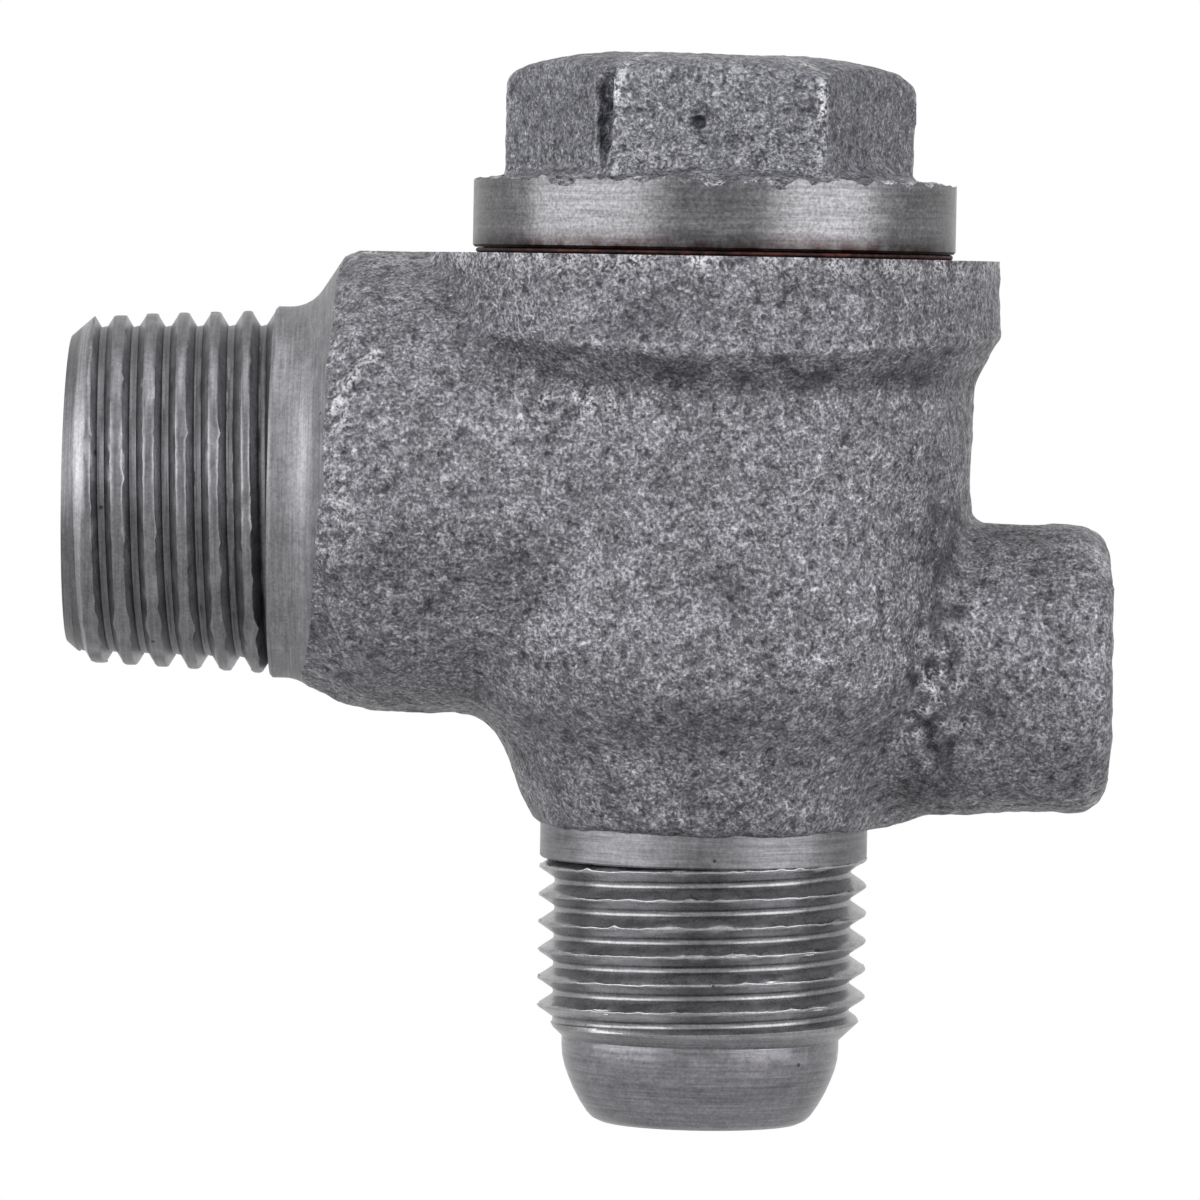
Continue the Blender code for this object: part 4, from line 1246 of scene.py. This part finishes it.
def cap_zones(place):
    """Lighter along the hexagon's corners, for wear and a painted highlight that is stronger towards the top.
    Also lighter along the torn border, low on the hexagon and at the crown's brow. Every other flat gets
    painted shade.

    The gash and the blowhole are painted near black, as painted shade in them.
    """
    inner = cap_place.inverted() @ place
    turn = math.degrees(math.atan2(inner.y, inner.x))
    from_corner = math.radians((turn - corner_bearing + 30.0) % 60.0 - 30.0) * math.hypot(inner.x, inner.y)
    # Painted highlight and wear along the corners, fading towards the collar.
    fade = max(0.3, min(1.0, (place.z - COLLAR_TOP - 1.4) / 3.0))
    corner_wear_and_highlight = fade * max(0.0, 1.2 - abs(from_corner) / 0.5) * max(0.0, 0.75 + 1.3 * noise.noise(place / 0.8))
    border = peak(place.z - COLLAR_TOP - 0.1, 0.5) * max(0.0, 0.4 + 1.8 * noise.noise(place / 1.0))
    low = 0.4 * max(0.0, 1.0 - (place.z - COLLAR_TOP) / 3.2) * max(0.0, 0.3 + noise.noise(place / 1.6))
    # Painted shade on every other flat.
    on_shaded_flat = (turn - shaded_flat_bearing + 30.0) % 120.0 < 60.0 and place.z > COLLAR_TOP + 0.8
    smooth = 0.22 if on_shaded_flat else 0.04
    # Painted shade, near black, in the gash and the blowhole.
    gashed = gash_place.inverted() @ place
    in_gash = 1.0 - math.hypot(gashed.x / 0.95, gashed.y / 1.4, gashed.z / 3.1)
    in_hole = 1.0 - (place - Vector((35.4, -10.25, 21.3))).length / 0.52
    dark = max(smooth, min(0.97, 5.0 * in_gash), min(0.85, 3.0 * in_hole))
    brow = 0.5 * peak(place.z - COLLAR_TOP - 6.9, 0.5) * max(0.0, 0.3 + noise.noise(place / 1.1))
    return max(corner_wear_and_highlight if place.z < COLLAR_TOP + 7.1 else 0.0, low, border, brow), dark


weather_and_shade_skin(cap, cap_zones)
finish_piece(cap, "cap", "housing")
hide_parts("hex_cap")

# Rust and copper have stained the collar's lower edge, and its fine grooves dull the shine at its ends.
collar_place = add_node(collar_tree, "ShaderNodeSeparateXYZ", {0: object_place(collar_tree)})
stain_edge = ranged(collar_tree, collar_place.outputs[2], COLLAR_BASE + 0.15, COLLAR_BASE + 1.15, 1.0, 0.0)
stain_noise = add_node(
    collar_tree,
    "ShaderNodeTexNoise",
    {"Vector": object_place(collar_tree), "Scale": 0.8, "Detail": 5.0},
)
stain = math_node(
    collar_tree, "MULTIPLY", stain_edge, ranged(collar_tree, stain_noise.outputs[0], 0.3, 0.6, 0.5, 1.0)
)
collar_shader.inputs["Specular Tint"].default_value = (0.80, 0.80, 0.80, 1.0)
stained = mix_colour(collar_tree, stain, collar_colour, (0.024, 0.014, 0.013, 1.0))
collar_tree.links.new(stained, collar_shader.inputs["Base Color"])


# Copper gasket: a flat ring pressed between the cap and the seat, so its edge bulges a little.
gasket_metal, gasket_tree, gasket_shader = new_metal("tarnished copper", 1.0)
gasket_noise = add_node(
    gasket_tree,
    "ShaderNodeTexNoise",
    {"Vector": object_place(gasket_tree), "Scale": 1.4, "Detail": 6.0, "Roughness": 0.7},
)
gasket_colour = mix_colour(
    gasket_tree,
    ranged(gasket_tree, gasket_noise.outputs[0], 0.44, 0.64),
    (0.026, 0.016, 0.016, 1.0),
    (0.090, 0.034, 0.028, 1.0),
)
gasket_tree.links.new(gasket_colour, gasket_shader.inputs["Base Color"])
gasket_shader.inputs["Roughness"].default_value = 0.6
bump(gasket_tree, gasket_shader, gasket_noise.outputs[0], 0.03, 0.6)
gasket_bore = 11.2
gasket_outline = [(gasket_bore, 13.87), *arc((13.46, 14.02), 0.15, -90, 90, 6), (gasket_bore, 14.17)]
gasket = turned_blank("gasket", gasket_outline, 192, upright, gasket_metal, ring=True)
sand_texture(gasket, 5, ((2.0, 0.03),))
finish_piece(gasket, "gasket", "housing")
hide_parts("cap_gasket")


# Poppet: a turned brass disc with a stem that runs in the cap, and a spigot that centres the spring.
SEAL_BASE = -5.17
HEAD_BASE = -3.14
HEAD_TOP = 0.26
SCREW_HEAD_TOP = -6.03
screw_hole = 1.55
brass = turned_material("turned brass", (0.60, 0.42, 0.17), 0.30, 5.0, **ON_UPRIGHT)[0]
poppet_outline = [
    (0.0, 0.77),
    (screw_hole, 0.77),
    (screw_hole, HEAD_BASE),
    (7.8, HEAD_BASE),
    (7.8, HEAD_BASE - 1.0),
    (7.9, HEAD_BASE - 1.1),
    (8.5, HEAD_BASE - 1.1),
    (8.6, HEAD_BASE - 1.0),
    (8.6, HEAD_TOP - 0.4),
    (8.48, HEAD_TOP - 0.12),
    (8.2, HEAD_TOP),
    (4.4, HEAD_TOP),
    (4.3, HEAD_TOP + 0.1),
    (4.3, HEAD_TOP + 0.65),
    (4.15, HEAD_TOP + 0.8),
    (3.1, HEAD_TOP + 0.8),
    (2.9, HEAD_TOP + 1.0),
    (2.9, 14.86),
    (2.4, 15.36),
    (0.0, 15.36),
]
poppet = turned_blank("poppet", poppet_outline, 96, upright, brass)
finish_piece(poppet, "poppet", "poppet")
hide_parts("valve_poppet")


# Seat seal: a disc of black nitrile rubber in the poppet's cup, marked by the seat's ring.
rubber, rubber_tree, rubber_shader = new_metal("black rubber", 0.0)
rubber_noise = add_node(
    rubber_tree, "ShaderNodeTexNoise", {"Vector": object_place(rubber_tree), "Scale": 6.0, "Detail": 4.0}
)
rubber_colour = mix_colour(
    rubber_tree, rubber_noise.outputs[0], (0.012, 0.012, 0.012, 1.0), (0.035, 0.034, 0.033, 1.0)
)
rubber_tree.links.new(rubber_colour, rubber_shader.inputs["Base Color"])
rubber_shader.inputs["Roughness"].default_value = 0.62
bump(rubber_tree, rubber_shader, rubber_noise.outputs[0], 0.02, 0.5)
seal_outline = [
    (screw_hole, SEAL_BASE),
    (5.7, SEAL_BASE),
    (5.85, SEAL_BASE + 0.03),
    (6.45, SEAL_BASE + 0.03),
    (6.6, SEAL_BASE),
    (7.55, SEAL_BASE),
    (7.7, SEAL_BASE + 0.15),
    (7.7, SEAL_BASE + 1.85),
    (7.55, SEAL_BASE + 2.0),
    (screw_hole, SEAL_BASE + 2.0),
]
seal = turned_blank("seal", seal_outline, 96, upright, rubber, ring=True)
finish_piece(seal, "seal", "poppet")
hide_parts("seat_seal")


# Seal washer and slotted screw: plain steel, holding the seal up in the poppet's cup.
fastener_steel = turned_material("fastener steel", (0.42, 0.42, 0.43), 0.32, 8.0, **ON_UPRIGHT)[0]
washer_outline = [
    (screw_hole, -6.0),
    (4.4, -6.0),
    (4.5, -5.92),
    (4.5, -5.28),
    (4.4, -5.2),
    (screw_hole, -5.2),
]
washer = turned_blank("washer", washer_outline, 96, upright, fastener_steel, ring=True)
finish_piece(washer, "washer", "poppet")
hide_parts("seal_washer")
screw_outline = [
    (0.0, 0.17),
    (1.05, 0.17),
    (1.45, -0.23),
    (1.45, SCREW_HEAD_TOP),
    (2.7, SCREW_HEAD_TOP),
    (2.8, SCREW_HEAD_TOP - 0.1),
    (2.8, SCREW_HEAD_TOP - 1.2),
    (2.62, SCREW_HEAD_TOP - 1.58),
    (2.2, SCREW_HEAD_TOP - 1.8),
    (0.0, SCREW_HEAD_TOP - 1.8),
]
screw = turned_blank("screw", screw_outline, 72, upright, fastener_steel)
slot_cut = bmesh.new()
bmesh.ops.create_cube(slot_cut, size=1.0)
bmesh.ops.transform(slot_cut, matrix=Matrix.Diagonal((0.8, 8.0, 2.0, 1.0)), verts=slot_cut.verts)
slot_place = Matrix.Translation((UPRIGHT_AXIS, 0.0, SCREW_HEAD_TOP - 2.0))
cut(screw, rough_blank("slot", slot_cut, slot_place, fastener_steel))
finish_piece(screw, "screw", "poppet")
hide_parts("seal_screw")


# Return spring: drawn steel wire coiled six and a half turns, its end turns closed.
# It stands between the poppet and the cap's pocket.
spring_steel = turned_material("spring steel", (0.50, 0.50, 0.52), 0.28, 3.0, **ON_UPRIGHT)[0]
SPRING_LOW, SPRING_HIGH = 0.79, 12.33
wire_radius = 0.5
coil_radius = 5.0
spring_turns = 6.5
closed_turns = 0.75
closed_pitch = 1.08
closed_rise = closed_pitch * closed_turns
open_rise = SPRING_HIGH - SPRING_LOW - 2 * closed_rise
open_turns = spring_turns - 2 * closed_turns
spring_curve = bpy.data.curves.new("spring", "CURVE")
spring_curve.dimensions = "3D"
spring_curve.bevel_depth = wire_radius
spring_curve.bevel_resolution = 4
spring_curve.use_fill_caps = True
steps_per_turn = 40
spring_steps = round(spring_turns * steps_per_turn)
spring_line = spring_curve.splines.new("POLY")
spring_line.points.add(spring_steps)
for step, point in enumerate(spring_line.points):
    turn = spring_turns * step / spring_steps
    if turn < closed_turns:
        height = SPRING_LOW + closed_rise * turn / closed_turns
    elif turn > spring_turns - closed_turns:
        height = SPRING_HIGH - closed_rise * (spring_turns - turn) / closed_turns
    else:
        height = SPRING_LOW + closed_rise + open_rise * (turn - closed_turns) / open_turns
    angle = math.tau * turn
    point.co = (UPRIGHT_AXIS + coil_radius * math.cos(angle), coil_radius * math.sin(angle), height, 1.0)
spring_form = bpy.data.objects.new("spring_form", spring_curve)
bpy.context.scene.collection.objects.link(spring_form)
spring_depsgraph = bpy.context.evaluated_depsgraph_get()
spring_data = bpy.data.meshes.new_from_object(spring_form.evaluated_get(spring_depsgraph))
bpy.data.objects.remove(spring_form)
spring_data.materials.clear()
spring_data.materials.append(spring_steel)
spring = bpy.data.objects.new("spring", spring_data)
bpy.context.scene.collection.objects.link(spring)
finish_piece(spring, "spring", "housing", 50.0)
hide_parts("return_spring")
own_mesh(spring)
